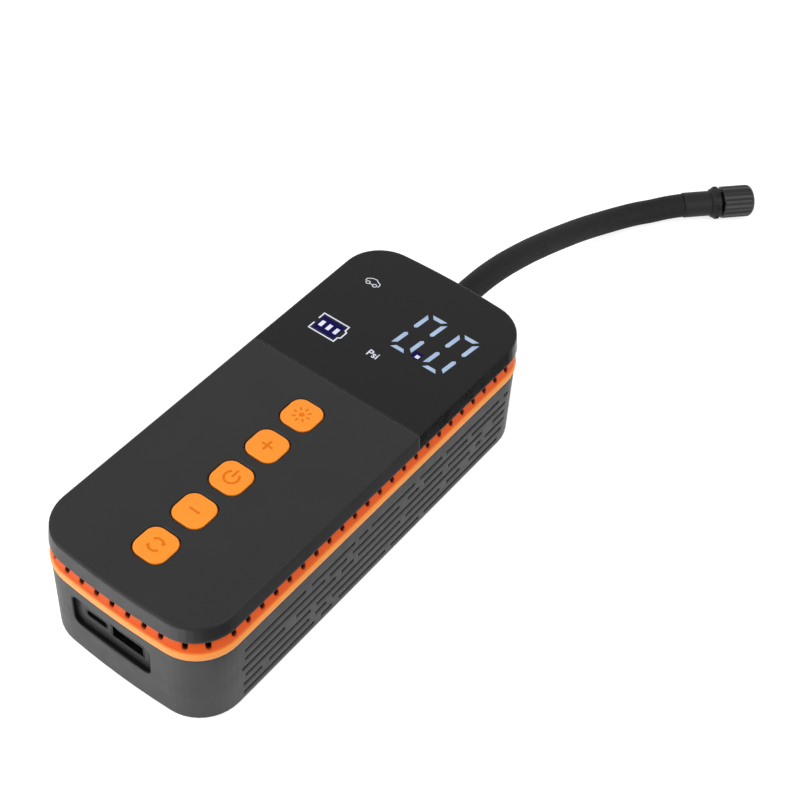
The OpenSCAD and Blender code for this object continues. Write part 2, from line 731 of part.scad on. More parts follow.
module battery_cells() color([0.2, 0.45, 0.75])
    for (x = [-1, 0, 1]) translate([x * cell_pitch, cell_middle - cell_length / 2, cell_z])
        rotate([-90, 0, 0]) cylinder(r = cell_radius, h = cell_length);

module cell_links() color([0.8, 0.8, 0.78]) {
    translate([-cell_pitch - 3.5, cell_middle - cell_length / 2 - link_thickness, cell_z - 2])
        cube([cell_pitch + 7, link_thickness, 6]);
    translate([-3.5, cell_middle + cell_length / 2, cell_z - 2]) cube([cell_pitch + 7, link_thickness, 6]);
}

// ---------- Motor, gears and pump ----------

// Puts children at a place on the pump's plane, with their Z along X
module along_x(x, y, z = pump_z) {
    translate([x, y, z]) rotate([0, 90, 0]) children();
}
module along_y(x, y, z = pump_z) {
    translate([x, y, z]) rotate([-90, 0, 0]) children();
}

module motor_can() color([0.72, 0.72, 0.72]) difference() {
    union() {
        along_x(motor_rear + 3, motor_y) cylinder(r = motor_radius, h = motor_length - 3);
        along_x(motor_face - touch, motor_y) cylinder(r = 3, h = 1.5);
    }
    along_x(motor_rear + 2, motor_y) cylinder(r = motor_radius - can_wall, h = motor_length - 2 - can_wall);
    along_x(motor_rear, motor_y) cylinder(r = shaft_radius + slip, h = motor_length + 4);
    for (s = [-1, 1]) along_x(motor_face - can_wall - overcut, motor_y, pump_z + s * 8)
        cylinder(r = 1.1, h = can_wall + 2 * overcut);
}

module motor_end_bell() color([0.13, 0.13, 0.14]) difference() {
    union() {
        along_x(motor_rear, motor_y) cylinder(r = motor_radius - 0.6, h = 3);
        along_x(motor_rear + 3 - touch, motor_y) cylinder(r = motor_radius - can_wall - slip, h = 2);
        for (s = [-1, 1]) translate([motor_rear - 1.2, motor_y + s * 9 - 0.4, pump_z - 1.5])
            cube([1.5, 0.8, 3]);
    }
    along_x(motor_rear - overcut, motor_y) cylinder(r = shaft_radius + slip, h = 9);
}

module motor_shaft() color([0.8, 0.8, 0.82])
    along_x(motor_rear + 0.5, motor_y) cylinder(r = shaft_radius, h = gear_x + gear_width - motor_rear);

module motor_armature() color([0.6, 0.35, 0.2]) difference() {
    union() {
        along_x(motor_rear + 10, motor_y) cylinder(r = armature_radius, h = motor_length - 17.8);
        along_x(motor_rear + 6.5, motor_y) cylinder(r = winding_radius, h = motor_length - 11.8);
    }
    along_x(motor_rear, motor_y) cylinder(r = shaft_radius + snug, h = motor_length);
    for (i = [0 : 4]) along_x(motor_rear + 9, motor_y) rotate([0, 0, 72 * i])
        translate([armature_radius - 3.1, -0.7, 0]) cube([5, 1.4, motor_length - 15.8]);
}

// Spur gear outline: involute flanks, tip lands and flat roots
function involute(a) = tan(a) * 180 / PI - a;
function flank_half(r, teeth) =
    let (pitch = gear_module * teeth / 2, base = pitch * cos(pressure_angle))
    90 / teeth - backlash / 4 / pitch * 180 / PI + involute(pressure_angle)
        - involute(r > base ? acos(base / r) : 0);
function gear_points(teeth) =
    let (pitch = gear_module * teeth / 2, base = pitch * cos(pressure_angle),
        tip = pitch + gear_module, root = pitch - 1.25 * gear_module,
        start = max(base, root + 0.05), steps = 4)
    [for (i = [0 : teeth - 1]) each concat(
        [polar(root, 360 * i / teeth - flank_half(start, teeth))],
        [for (k = [0 : steps]) let (r = start + (tip - start) * k / steps)
            polar(r, 360 * i / teeth - flank_half(r, teeth))],
        [for (k = [steps : -1 : 0]) let (r = start + (tip - start) * k / steps)
            polar(r, 360 * i / teeth + flank_half(r, teeth))],
        [polar(root, 360 * i / teeth + flank_half(start, teeth))])];
function polar(r, a) = [r * cos(a), r * sin(a)];

module pinion() color([0.78, 0.62, 0.3]) along_x(gear_x, motor_y) difference() {
    rotate([0, 0, 90]) linear_extrude(gear_width) polygon(gear_points(pinion_teeth));
    translate([0, 0, -overcut]) cylinder(r = shaft_radius + snug, h = gear_width + 2 * overcut);
}

module drive_gear() color([0.85, 0.85, 0.82]) along_x(gear_x, gear_y) difference() {
    union() {
        rotate([0, 0, 90 + 180 / gear_teeth]) linear_extrude(gear_width) polygon(gear_points(gear_teeth));
        translate([0, 0, -0.4]) cylinder(r = 3.4, h = gear_width);
    }
    translate([0, 0, -overcut]) cylinder(r = axle_radius + slip, h = gear_width + 2 * overcut);
    translate([0, -crank_radius, -overcut]) cylinder(r = pin_radius + snug, h = gear_width + 2 * overcut);
    for (a = [-140, -220, 40, -40]) rotate([0, 0, a + 90]) translate([0, 8, -overcut])
        cylinder(r = 2.4, h = gear_width + 2 * overcut);
}

module gear_axle() color([0.8, 0.8, 0.82]) {
    along_x(motor_face - 2, gear_y) cylinder(r = axle_radius, h = gear_x + gear_width + 0.4 - motor_face + 2);
    along_x(gear_x + gear_width + 0.1, gear_y) cylinder(r = 2.1, h = 0.6);
}

module crank_pin() color([0.8, 0.8, 0.82])
    along_x(gear_x + 0.4, eye_y) cylinder(r = pin_radius, h = pin_tip - gear_x - 0.4);

module pump_frame() color([0.62, 0.63, 0.65]) difference() {
    union() {
        translate([motor_face, frame_front, floor_top + 0.6])
            cube([plate, flange_y + flange_thick - frame_front, 2 * (pump_z - floor_top - 0.6)]);
        translate([motor_face, flange_y, pump_z - 12.5])
            cube([rod_x - motor_face + 12, flange_thick, 25]);
        along_x(motor_face - 2, gear_y) cylinder(r = 3.1, h = 2 + plate + 0.4);
        translate([motor_face + plate - touch, frame_front, pump_foot_z]) cube([9.4, 7.4, frame_foot]);
        translate([motor_face - 10.5, pump_feet[1][1] - 3.8, pump_foot_z])
            cube([10.5 + touch, 7.6, frame_foot]);
    }
    along_x(motor_face - overcut, motor_y) cylinder(r = 3 + slip, h = plate + 2 * overcut);
    along_x(motor_face - 3, gear_y) cylinder(r = axle_radius + snug, h = plate + 6);
    for (s = [-1, 1]) along_x(motor_face - overcut, motor_y, pump_z + s * 8)
        cylinder(r = 1.3, h = plate + 2 * overcut);
    along_y(rod_x, flange_y - overcut)
        cylinder(r = cylinder_bore + cylinder_wall + snug, h = flange_thick + 2 * overcut);
    for (p = pump_feet) translate([p[0], p[1], pump_foot_z - overcut])
        cylinder(r = screw_radius + 0.2, h = frame_foot + 2 * overcut);
}

module cylinder_fins() {
    for (i = [0 : 1]) translate([0, 0, flange_y + flange_thick - cylinder_foot + 3.2 + 2.8 * i])
        cylinder(r = head_radius, h = 1.2);
}

module cylinder_sleeve() difference() {
    union() {
        cylinder(r = cylinder_bore + cylinder_wall, h = cylinder_top - cylinder_foot);
        translate([0, 0, flange_y + flange_thick - cylinder_foot]) cylinder(r = head_radius, h = 1.4);
        translate([0, 0, cylinder_top - cylinder_foot - head_flange])
            cylinder(r = head_radius, h = head_flange);
        cylinder_fins();
    }
    translate([0, 0, -overcut]) cylinder(r = cylinder_bore, h = cylinder_top - cylinder_foot + 2 * overcut);
    for (s = [-1, 1]) translate([s * head_screw_x, -head_screw_z, cylinder_top - cylinder_foot - head_flange])
        cylinder(r = 1.05 + slip, h = head_flange + overcut);
}

module pump_cylinder() color([0.7, 0.71, 0.73]) along_y(rod_x, cylinder_foot) cylinder_sleeve();

module cylinder_head() color([0.62, 0.63, 0.65]) difference() {
    union() {
        along_y(rod_x, cylinder_top) cylinder(r = head_radius, h = head_height);
        along_x(rod_x - head_radius - 3.6, cylinder_top + 3) cylinder(r = 1.5, h = 8);
    }
    along_y(rod_x, cylinder_top - overcut) cylinder(r = 2.4, h = 3);
    along_x(rod_x - head_radius - 4.6, cylinder_top + 3) cylinder(r = 0.8, h = head_radius + 4.6);
    for (s = [-1, 1]) along_y(rod_x + s * head_screw_x, cylinder_top - overcut, pump_z + head_screw_z)
        cylinder(r = 1.2, h = head_height + 2 * overcut);
}

module head_screws() color([0.3, 0.3, 0.31])
    for (s = [-1, 1]) along_y(rod_x + s * head_screw_x, cylinder_top + head_height, pump_z + head_screw_z)
        mirror([0, 0, 1]) cross_screw(1.05, 1.9, 1.2, head_height + head_flange - 0.4);

module motor_screws() color([0.3, 0.3, 0.31])
    for (s = [-1, 1]) along_x(motor_face - can_wall, motor_y, pump_z + s * 8) {
        cylinder(r = 1.05, h = can_wall + plate + touch);
        translate([0, 0, can_wall + plate]) cylinder(r = 1.9, h = 1.1);
    }

module piston_rod() color([0.85, 0.86, 0.88]) difference() {
    union() {
        along_x(rod_x - rod_thickness / 2, eye_y) cylinder(r = eye_radius, h = rod_thickness);
        translate([rod_x - rod_thickness / 2, eye_y + 2.8, pump_z])
            rotate([0, 90, 0]) linear_extrude(rod_thickness)
            polygon([[-3.1, 0], [3.1, 0], [2.5, rod_length - piston_height - 2.7],
                [-2.5, rod_length - piston_height - 2.7]]);
        along_y(rod_x, crown_y - piston_height) rotate_extrude() polygon([[0, 0], [piston_radius, 0],
            [piston_radius, 1.1], [ring_groove, 1.1], [ring_groove, 1.1 + ring_height],
            [piston_radius, 1.1 + ring_height], [piston_radius, piston_height], [0, piston_height]]);
    }
    along_x(rod_x - rod_thickness, eye_y) cylinder(r = bush_radius + snug, h = 2 * rod_thickness);
}

module rod_bush() color([0.78, 0.6, 0.3]) along_x(rod_x - rod_thickness / 2, eye_y) difference() {
    cylinder(r = bush_radius, h = rod_thickness);
    translate([0, 0, -overcut]) cylinder(r = pin_radius + slip, h = rod_thickness + 2 * overcut);
}

module piston_ring() color([0.15, 0.15, 0.15]) along_y(rod_x, crown_y - piston_height + 1.1) difference() {
    cylinder(r = cylinder_bore - slip, h = ring_height);
    translate([0, 0, -overcut]) cylinder(r = ring_groove + snug, h = ring_height + 2 * overcut);
}

module outlet_tube() color([0.9, 0.9, 0.86]) swept_tube(outlet_route, 2.2, 12, [-1, 0, 0], [0, 1, 0]);
module sensor_tube() color([0.9, 0.9, 0.86]) swept_tube(sensor_route, 1.4, 8, unit([0, 0.2, 1]));

// ---------- Lamp ----------

module lamp_lens() color([0.9, 0.92, 0.95, 0.6]) along_y(lamp_x, lamp_back, lamp_z) {
    cylinder(r = lamp_radius, h = 4.1);
    cylinder(r = lamp_radius + 0.9, h = 1.2);
}
module lamp_reflector() color([0.85, 0.86, 0.88]) along_y(lamp_x, lamp_back - 4.05, lamp_z) rotate_extrude()
    polygon([[1.8, 0], [2.6, 0], [lamp_radius, 4], [lamp_radius - 0.8, 4]]);
module lamp_board() color([0.95, 0.95, 0.93]) along_y(lamp_x, lamp_back - 5.3, lamp_z) {
    cylinder(r = lamp_radius - 0.8, h = 1.2);
    cylinder(r = 1.5, h = 2);
}

// ---------- Hose, gland and chuck ----------

module hose_gland() color([0.13, 0.13, 0.14]) along_y(gland_x, gland_y - gland_root, gland_z) difference() {
    bore = hose_diameter / 2 + slip;
    tip = gland_root + gland_length;
    rotate_extrude() polygon(concat(
        [[gland_bore, -1.2], [3.2, -1.2], [3.2, 2], [gland_neck, 2], [gland_neck, gland_root],
            [gland_radius, gland_root], [gland_radius, gland_root + 1.6]],
        [for (i = [0 : gland_ribs - 1]) let (r = gland_radius - 0.3 - 0.15 * i, y = gland_root + 2 + 3 * i)
            each [[r, y], [r, y + 1.8], [r - 0.6, y + 2], [r - 0.6, y + 2.8]]],
        [[gland_tip, tip - 0.6], [gland_tip - 0.2, tip], [bore, tip], [bore, tip - gland_socket],
            [gland_bore, tip - gland_socket]]));
}

module gland_nut() color([0.7, 0.6, 0.35])
    along_y(gland_x, gland_nut_front - gland_nut_height, gland_z) difference() {
        cylinder(r = gland_nut_radius, h = gland_nut_height, $fn = 6);
        translate([0, 0, -overcut]) cylinder(r = gland_neck + slip, h = gland_nut_height + 2 * overcut);
    }

module air_hose() color([0.14, 0.14, 0.14])
    swept_tube(hose_route, hose_diameter / 2, hose_sides, [0, 1, 0], chuck_axis);

module on_chuck(s) {
    translate(chuck_start + s * chuck_axis) rotate([0, 90, chuck_turn]) children();
}

module hose_sleeve() color([0.2, 0.2, 0.21]) on_chuck(0) rotate_extrude()
    polygon([[0, snug], [sleeve_radius - 0.5, snug], [sleeve_radius, 0.6],
        [sleeve_radius, sleeve_length - 0.2], [sleeve_radius - 0.2, sleeve_length],
        [spigot_radius + snug, sleeve_length], [spigot_radius + snug, sleeve_socket], [0, sleeve_socket]]);

module chuck_body() color([0.78, 0.62, 0.3]) on_chuck(sleeve_socket) difference() {
    union() {
        cylinder(r = spigot_radius, h = spigot_end - sleeve_socket);
        translate([0, 0, spigot_end - sleeve_socket - touch]) cylinder(r = 0.6, h = seal_height + touch);
    }
    for (s = [-1, 1]) translate([s * 2, 0, -overcut]) cylinder(r = 0.7, h = spigot_end);
}

module chuck_collar() color([0.2, 0.2, 0.21]) on_chuck(sleeve_length) difference() {
    rotate_extrude() polygon([[spigot_radius + snug, 0], [sleeve_radius - 0.1, 0], [sleeve_radius + 0.5, 0.5],
        [collar_radius - 0.3, 1.9], [collar_radius, 2.3], [collar_radius, 3.2],
        [collar_radius - 0.4, collar_length], [spigot_radius + snug, collar_length]]);
    for (i = [0 : 7]) rotate([0, 0, 45 * i + 22.5]) translate([collar_radius - 0.2, 0, 1.6])
        cylinder(r = 0.8, h = collar_length);
}

module chuck_seal() color([0.1, 0.1, 0.1]) on_chuck(spigot_end) difference() {
    cylinder(r = spigot_radius - slip, h = seal_height);
    for (s = [-1, 1]) translate([s * 2, 0, -overcut]) cylinder(r = 0.7, h = seal_height + 2 * overcut);
    translate([0, 0, -overcut]) cylinder(r = 0.6 + snug, h = seal_height + 2 * overcut);
}

module chuck_cap() color([0.23, 0.23, 0.24]) on_chuck(cap_start) difference() {
    intersection() {
        linear_extrude(cap_length) polygon([for (i = [0 : 6 * cap_flutes - 1])
            let (a = 60 * i / cap_flutes)
            polar(cap_radius - flute_depth * pow(abs(sin(cap_flutes * a / 2)), 3), a)]);
        rotate_extrude() polygon(concat([[0, 0], [cap_radius - 0.5, 0], [cap_radius + overcut, 0.5 + overcut],
                [cap_radius + overcut, cap_length - cap_round - overcut]],
            [for (i = [0 : 6]) let (a = 15 * i)
                [cap_radius - cap_round + cap_round * cos(a), cap_length - cap_round + cap_round * sin(a)]],
            [[0, cap_length]]));
    }
    translate([0, 0, -overcut]) cylinder(r = spigot_radius + slip, h = seal_end - cap_start + overcut);
    translate([0, 0, spigot_end - cap_start]) cylinder(r = valve_bore, h = cap_length);
}

// ---------- Feet and screws ----------

module rubber_feet() color([0.1, 0.1, 0.1]) four(foot_x, foot_y) rotate_extrude()
    polygon([[0, 0], [foot_radius - 0.4, 0], [foot_radius, 0.4], [foot_radius, foot_lift + foot_recess],
        [0, foot_lift + foot_recess]]);

module cross_screw(r, head, head_height, length) difference() {
    union() {
        translate([0, 0, -head_height]) cylinder(r = head, h = head_height);
        translate([0, 0, -touch]) cylinder(r = r, h = length + touch);
    }
    for (a = [0, 90]) rotate([0, 0, a]) translate([-head * 0.6, -0.3, -head_height - overcut])
        cube([head * 1.2, 0.6, head_height * 0.6 + overcut]);
}

module case_screws() color([0.3, 0.3, 0.31]) four(boss_x, boss_y) translate([0, 0, screw_seat])
    cross_screw(screw_radius, screw_head, 1.8, boss_top + screw_bite - screw_seat);

module board_screws() color([0.3, 0.3, 0.31]) {
    for (p = standoff_places) translate([p[0], p[1], control_under])
        cross_screw(0.9, 1.7, 1.1, board_thickness + 3.6);
    for (p = post_places) translate([p[0], p[1], main_top]) mirror([0, 0, 1])
        cross_screw(0.9, 1.7, 1.1, board_thickness + 5);
}

module pump_screws() color([0.3, 0.3, 0.31])
    for (p = pump_feet) translate([p[0], p[1], pump_foot_z + frame_foot]) mirror([0, 0, 1])
        cross_screw(screw_radius, 2.2, 1.4, 4.6);

bottom_case();
vent_ring();
top_cover();
display_window();
button_light();
button_plus();
button_power();
button_minus();
button_mode();
control_board();
tact_switches();
display_module();
main_board();
board_parts();
pressure_sensor();
usb_c_shell();
usb_c_tongue();
usb_a_shell();
usb_a_tongue();
battery_tray();
battery_cells();
cell_links();
motor_can();
motor_end_bell();
motor_shaft();
motor_armature();
pinion();
motor_screws();
pump_frame();
gear_axle();
drive_gear();
crank_pin();
piston_rod();
rod_bush();
piston_ring();
pump_cylinder();
cylinder_head();
head_screws();
outlet_tube();
sensor_tube();
lamp_lens();
lamp_reflector();
lamp_board();
hose_gland();
gland_nut();
air_hose();
hose_sleeve();
chuck_body();
chuck_collar();
chuck_seal();
chuck_cap();
rubber_feet();
case_screws();
board_screws();
pump_screws();
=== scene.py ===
"""The looks of a portable tire inflator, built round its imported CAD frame.

+Z is up and +Y points to the hose end. Lengths on the object are in millimetres, and MM turns them into
metres. The stage round it, with its floor, cards and lamps, is in metres.
"""
import json
import math

import bmesh
import bpy
from mathutils import Matrix, Vector


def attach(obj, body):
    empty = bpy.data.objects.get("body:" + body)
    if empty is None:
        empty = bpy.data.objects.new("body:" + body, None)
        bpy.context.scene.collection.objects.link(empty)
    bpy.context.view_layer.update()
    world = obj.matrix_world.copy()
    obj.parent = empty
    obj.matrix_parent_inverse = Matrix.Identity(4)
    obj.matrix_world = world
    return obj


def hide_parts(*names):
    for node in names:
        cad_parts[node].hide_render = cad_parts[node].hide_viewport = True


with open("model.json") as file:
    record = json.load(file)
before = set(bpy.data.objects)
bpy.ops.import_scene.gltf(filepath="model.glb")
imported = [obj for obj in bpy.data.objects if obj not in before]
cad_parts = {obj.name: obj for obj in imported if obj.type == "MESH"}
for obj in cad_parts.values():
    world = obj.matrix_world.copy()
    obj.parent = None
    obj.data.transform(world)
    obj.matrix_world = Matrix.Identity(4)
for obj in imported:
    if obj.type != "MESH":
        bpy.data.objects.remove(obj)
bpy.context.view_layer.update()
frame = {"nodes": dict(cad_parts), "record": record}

MM = 0.001
NODES = frame["nodes"]
SCENE = bpy.context.scene


# ---------- Objects and meshes ----------

def new_object(name, data):
    """A new object in the scene that shows some data."""
    made = bpy.data.objects.new(name, data)
    SCENE.collection.objects.link(made)
    return made


def node_box(name):
    """The lowest and the highest corner of a CAD node, in millimetres."""
    node = NODES[name]
    corners = [node.matrix_world @ Vector(corner) / MM for corner in node.bound_box]
    return [Vector(pick(axis) for axis in zip(*corners)) for pick in (min, max)]


def add_piece(name, mesh, body, material=None):
    """A piece that rides on a body. Without a material, its mesh keeps its own ones."""
    piece = new_object(name, mesh)
    if material is not None:
        mesh.materials.clear()
        mesh.materials.append(material)
    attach(piece, body)
    return piece


def mesh_from(name, points, faces):
    mesh = bpy.data.meshes.new(name)
    mesh.from_pydata([tuple(p) for p in points], [], faces)
    mesh.update()
    return mesh


def finished(bm, name):
    """The mesh of a bmesh, with its faces turned outwards."""
    bmesh.ops.recalc_face_normals(bm, faces=bm.faces)
    mesh = bpy.data.meshes.new(name)
    bm.to_mesh(mesh)
    bm.free()
    return mesh


def evaluated(thing):
    """A mesh of what an object's modifiers or its text make."""
    bpy.context.view_layer.update()
    return bpy.data.meshes.new_from_object(thing.evaluated_get(bpy.context.evaluated_depsgraph_get()))


def smooth(mesh):
    mesh.polygons.foreach_set("use_smooth", [True] * len(mesh.polygons))


def crisp(mesh, angle):
    """Smooth over curves, with every edge sharper than the angle, in degrees, left sharp."""
    smooth(mesh)
    mesh.set_sharp_from_angle(angle=math.radians(angle))


# ---------- Flat outlines and plates, in millimetres ----------

CORNER_STEPS = 8
ROUND_END_STEPS = 6
MITRE_LIMIT = 0.3  # a mitre grows with the bend until the cosine of half the bend is this


def rotated(v, degrees):
    a = math.radians(degrees)
    return Vector((v.x * math.cos(a) - v.y * math.sin(a), v.x * math.sin(a) + v.y * math.cos(a)))


def on_circle(radius, degrees, centre=(0, 0)):
    a = math.radians(degrees)
    return (centre[0] + radius * math.cos(a), centre[1] + radius * math.sin(a))


def arc(radius, start, end, steps=14, centre=(0, 0)):
    return [on_circle(radius, start + (end - start) * i / steps, centre) for i in range(steps + 1)]


def circle(radius, count, centre=(0, 0)):
    return [on_circle(radius, 360 * k / count, centre) for k in range(count)]


def rectangle(left, front, right, back):
    return [(left, front), (right, front), (right, back), (left, back)]


def rounded_box(width, height, corner):
    points = []
    for q, (sx, sy) in enumerate(((1, 1), (-1, 1), (-1, -1), (1, -1))):
        centre = (sx * (width / 2 - corner), sy * (height / 2 - corner))
        points.extend(arc(corner, 90 * q, 90 * q + 90, CORNER_STEPS, centre))
    return points


def line_edges(points, width, closed=False):
    """The left and right edges of a line of some width through flat points, mitred at its corners."""
    line = [Vector(p) for p in points]
    count = len(line)
    left, right = [], []
    for i, p in enumerate(line):
        before = line[(i - 1) % count] if closed or i else None
        after = line[(i + 1) % count] if closed or i < count - 1 else None
        into = (p - before).normalized() if before is not None else (after - p).normalized()
        out = (after - p).normalized() if after is not None else into
        mean = (into + out).normalized()
        normal = Vector((-mean.y, mean.x))
        reach = width / 2 / max(MITRE_LIMIT, mean.dot(into))
        left.append(p + normal * reach)
        right.append(p - normal * reach)
    return left, right


def round_end(tip, before, width):
    """Points round the end of a line of some width, from its left edge to its right one."""
    heading = (Vector(tip) - Vector(before)).normalized()
    turns = [90 - 180 * k / ROUND_END_STEPS for k in range(1, ROUND_END_STEPS)]
    return [Vector(tip) + width / 2 * rotated(heading, turn) for turn in turns]


def ribbon(points, width, round_ends=True):
    """The outline of an open line of some width."""
    left, right = line_edges(points, width)
    if not round_ends:
        return [tuple(p) for p in left + right[::-1]]
    end = round_end(points[-1], points[-2], width)
    start = round_end(points[0], points[1], width)
    return [tuple(p) for p in left + end + right[::-1] + start]


def raised(bm, outline, z):
    """The vertices of an outline at some height."""
    return [bm.verts.new((x * MM, y * MM, z * MM)) for x, y in outline]


def join_rings(bm, first, second):
    """Adds the faces between two closed rings with as many vertices each."""
    for i in range(len(first)):
        j = (i + 1) % len(first)
        bm.faces.new((first[i], first[j], second[j], second[i]))


def plate(bm, outline, low, high):
    """Adds a flat plate with the given outline to a bmesh."""
    bottom = raised(bm, outline, low)
    top = raised(bm, outline, high)
    bm.faces.new(top)
    bm.faces.new(bottom[::-1])
    join_rings(bm, bottom, top)


def ring_plate(bm, points, width, low, high):
    """Adds a closed line of some width, as a flat ring, to a bmesh."""
    left, right = line_edges(points, width, closed=True)
    corners = ((left, high), (right, high), (right, low), (left, low))
    rings = [raised(bm, edge, z) for edge, z in corners]
    for first, second in zip(rings, rings[1:] + rings[:1]):
        join_rings(bm, first, second)


def plates(name, outlines, low, high, loops=(), loop_width=0.0):
    """A mesh of flat plates: filled outlines, and closed lines of some width."""
    bm = bmesh.new()
    for outline in outlines:
        plate(bm, outline, low, high)
    for loop in loops:
        ring_plate(bm, loop, loop_width, low, high)
    return finished(bm, name)


# ---------- Shader nodes ----------

NOISE_ROUGHNESS = 0.55
NOISE_RANGE = (0.3, 0.7)  # where most of a noise's values are


class Nodes:
    """The nodes of a material or a world, put together from none."""

    def __init__(self, owner, output):
        owner.use_nodes = True
        self.tree = owner.node_tree
        self.tree.nodes.clear()
        self.output = self.node(output)

    def node(self, kind, **sockets):
        made = self.tree.nodes.new(kind)
        for key, value in sockets.items():
            made.inputs[key.replace("_", " ")].default_value = value
        return made

    def link(self, source, target):
        self.tree.links.new(source, target)

    def feed(self, made, *sources):
        """Links the sources to a node's first sockets, in turn."""
        for source, target in zip(sources, made.inputs):
            self.link(source, target)
        return made.outputs[0]

    def larger(self, first, second):
        step = self.node("ShaderNodeMath")
        step.operation = "MAXIMUM"
        return self.feed(step, first, second)

    def seen_or_lit(self, lit_by, seen_as):
        """One shader for light on its way to other surfaces, and one for what is seen.

        Seen are rays from the camera, rays in a reflection and rays through glass.
        """
        rays = self.node("ShaderNodeLightPath").outputs
        seen = self.larger(rays["Is Camera Ray"], rays["Is Glossy Ray"])
        seen = self.larger(seen, rays["Is Transmission Ray"])
        return self.feed(self.node("ShaderNodeMixShader"), seen, lit_by, seen_as)

    def show(self, shader):
        self.link(shader, self.output.inputs["Surface"])


class Shader(Nodes):
    """A procedural material in an object's own coordinates."""

    def __init__(self, name):
        self.name = name
        self.material = bpy.data.materials.new(name)
        super().__init__(self.material, "ShaderNodeOutputMaterial")
        self.coords = self.node("ShaderNodeTexCoord").outputs["Object"]

    def noise(self, scale, detail, stretch=None):
        coords = self.coords
        if stretch is not None:
            mapping = self.node("ShaderNodeMapping", Scale=stretch)
            self.link(coords, mapping.inputs["Vector"])
            coords = mapping.outputs["Vector"]
        texture = self.node("ShaderNodeTexNoise", Scale=scale, Detail=detail, Roughness=NOISE_ROUGHNESS)
        self.link(coords, texture.inputs["Vector"])
        return texture.outputs["Fac"]

    def spread(self, value, low, high, start=NOISE_RANGE[0], end=NOISE_RANGE[1]):
        """Stretches what lies between start and end to low and high."""
        found = self.node("ShaderNodeMapRange", From_Min=start, From_Max=end, To_Min=low, To_Max=high)
        self.link(value, found.inputs["Value"])
        return found.outputs["Result"]

    def uneven(self, noise, middle, reach):
        """A value that drifts by some reach to either side of its middle."""
        return self.spread(self.noise(*noise), middle - reach, middle + reach)

    def blend(self, value, first, second):
        mix = self.node("ShaderNodeMix")
        mix.data_type = "RGBA"
        self.link(value, mix.inputs["Factor"])
        sockets = [s for s in mix.inputs if s.type == "RGBA"]
        for socket, colour in zip(sockets, (first, second)):
            if isinstance(colour, tuple):
                socket.default_value = (*colour, 1)
            else:
                self.link(colour, socket)
        return next(s for s in mix.outputs if s.type == "RGBA")

    def cloudy(self, noise, colour, darkest, palest):
        """A colour that drifts between two multiples of itself."""
        drift = self.spread(self.noise(*noise), 0, 1)
        return self.blend(drift, scaled(colour, darkest), scaled(colour, palest))

    def height(self):
        parts = self.node("ShaderNodeSeparateXYZ")
        self.link(self.coords, parts.inputs["Vector"])
        return parts.outputs["Z"]

    def painted_slot_shade(self, face, tone, reach, share):
        """A face with painted shade deep in its own narrow slots, where its own ambient occlusion is low.

        Walls within the reach, in millimetres, close a place off. The painted shade is full where no more
        than the first share of a place is open, and gone from the second share on.
        """
        found = self.node("ShaderNodeAmbientOcclusion", Distance=reach * MM)
        found.only_local = True
        return self.blend(self.spread(found.outputs["AO"], 0, 1, *share), tone, face)

    def soft_edges(self, radius):
        """Normals that run smoothly round edges and facets, within a radius in millimetres."""
        return self.node("ShaderNodeBevel", Radius=radius * MM).outputs["Normal"]

    def bump(self, value, depth, strength=1.0, below=None):
        """Normals of a relief of some depth in millimetres, laid over the normals below it."""
        made = self.node("ShaderNodeBump", Strength=strength, Distance=depth * MM)
        self.link(value, made.inputs["Height"])
        if below is not None:
            self.link(below, made.inputs["Normal"])
        return made.outputs["Normal"]

    def surface(self, links, **numbers):
        """Ends the material in a surface: links feed its sockets by name, and numbers set the others."""
        shader = self.node("ShaderNodeBsdfPrincipled", **numbers)
        for socket, source in links.items():
            self.link(source, shader.inputs[socket])
        self.show(shader.outputs["BSDF"])
        return self


def scaled(colour, factor):
    return tuple(min(1.0, c * factor) for c in colour)


# ---------- Materials ----------

# Noises, each as its scale per metre and its detail
TONE_CLOUD = (60, 4)
GLOSS_CLOUD = (220, 3)
RING_GRAIN = (2800, 2)
METAL_CLOUD = (90, 3)
SCRATCHES = (900, 3)
YARN_CLOUD = (420, 4)
FILAMENTS = (4200, 3)
GLOW_CLOUD = (260, 2)
CLEAR_CLOUD = (500, 2)
GRAIN_DETAIL = 2

# How far a roughness drifts to either side
GLOSS_REACH = 0.04
SCRATCH_REACH = 0.07
CLEAR_REACH = 0.05

# What a colour is multiplied by where it is darkest and where it is palest
LIP_TONES = (0.96, 1.0)
COVE_TONES = (0.95, 1.0)
METAL_TONES = (0.9, 1.05)
YARN_TONES = (0.8, 1.35)
GLOW_TONES = (0.92, 1.08)
TRACK_TONE = 1.9  # and by this over a board's tracks


def moulded(name, colour, roughness, grain=0.012, grain_size=0.35, mottle=0.06, specular=0.5, edge=0.3,
            slots=None):
    """Moulded plastic: fine spark-eroded grain, soft edges, and a little unevenness in tone and gloss.

    When slots are given, it has painted shade deep in them.
    """
    s = Shader(name)
    face = s.cloudy(TONE_CLOUD, colour, 1 - mottle, 1 + mottle)
    if slots is not None:
        face = s.painted_slot_shade(face, *slots)
    fine = s.noise(1 / (grain_size * MM), GRAIN_DETAIL)
    links = {"Base Color": face,
             "Roughness": s.uneven(GLOSS_CLOUD, roughness, GLOSS_REACH),
             "Normal": s.bump(fine, grain, below=s.soft_edges(edge))}
    return s.surface(links, Metallic=0.0, Specular_IOR_Level=specular)


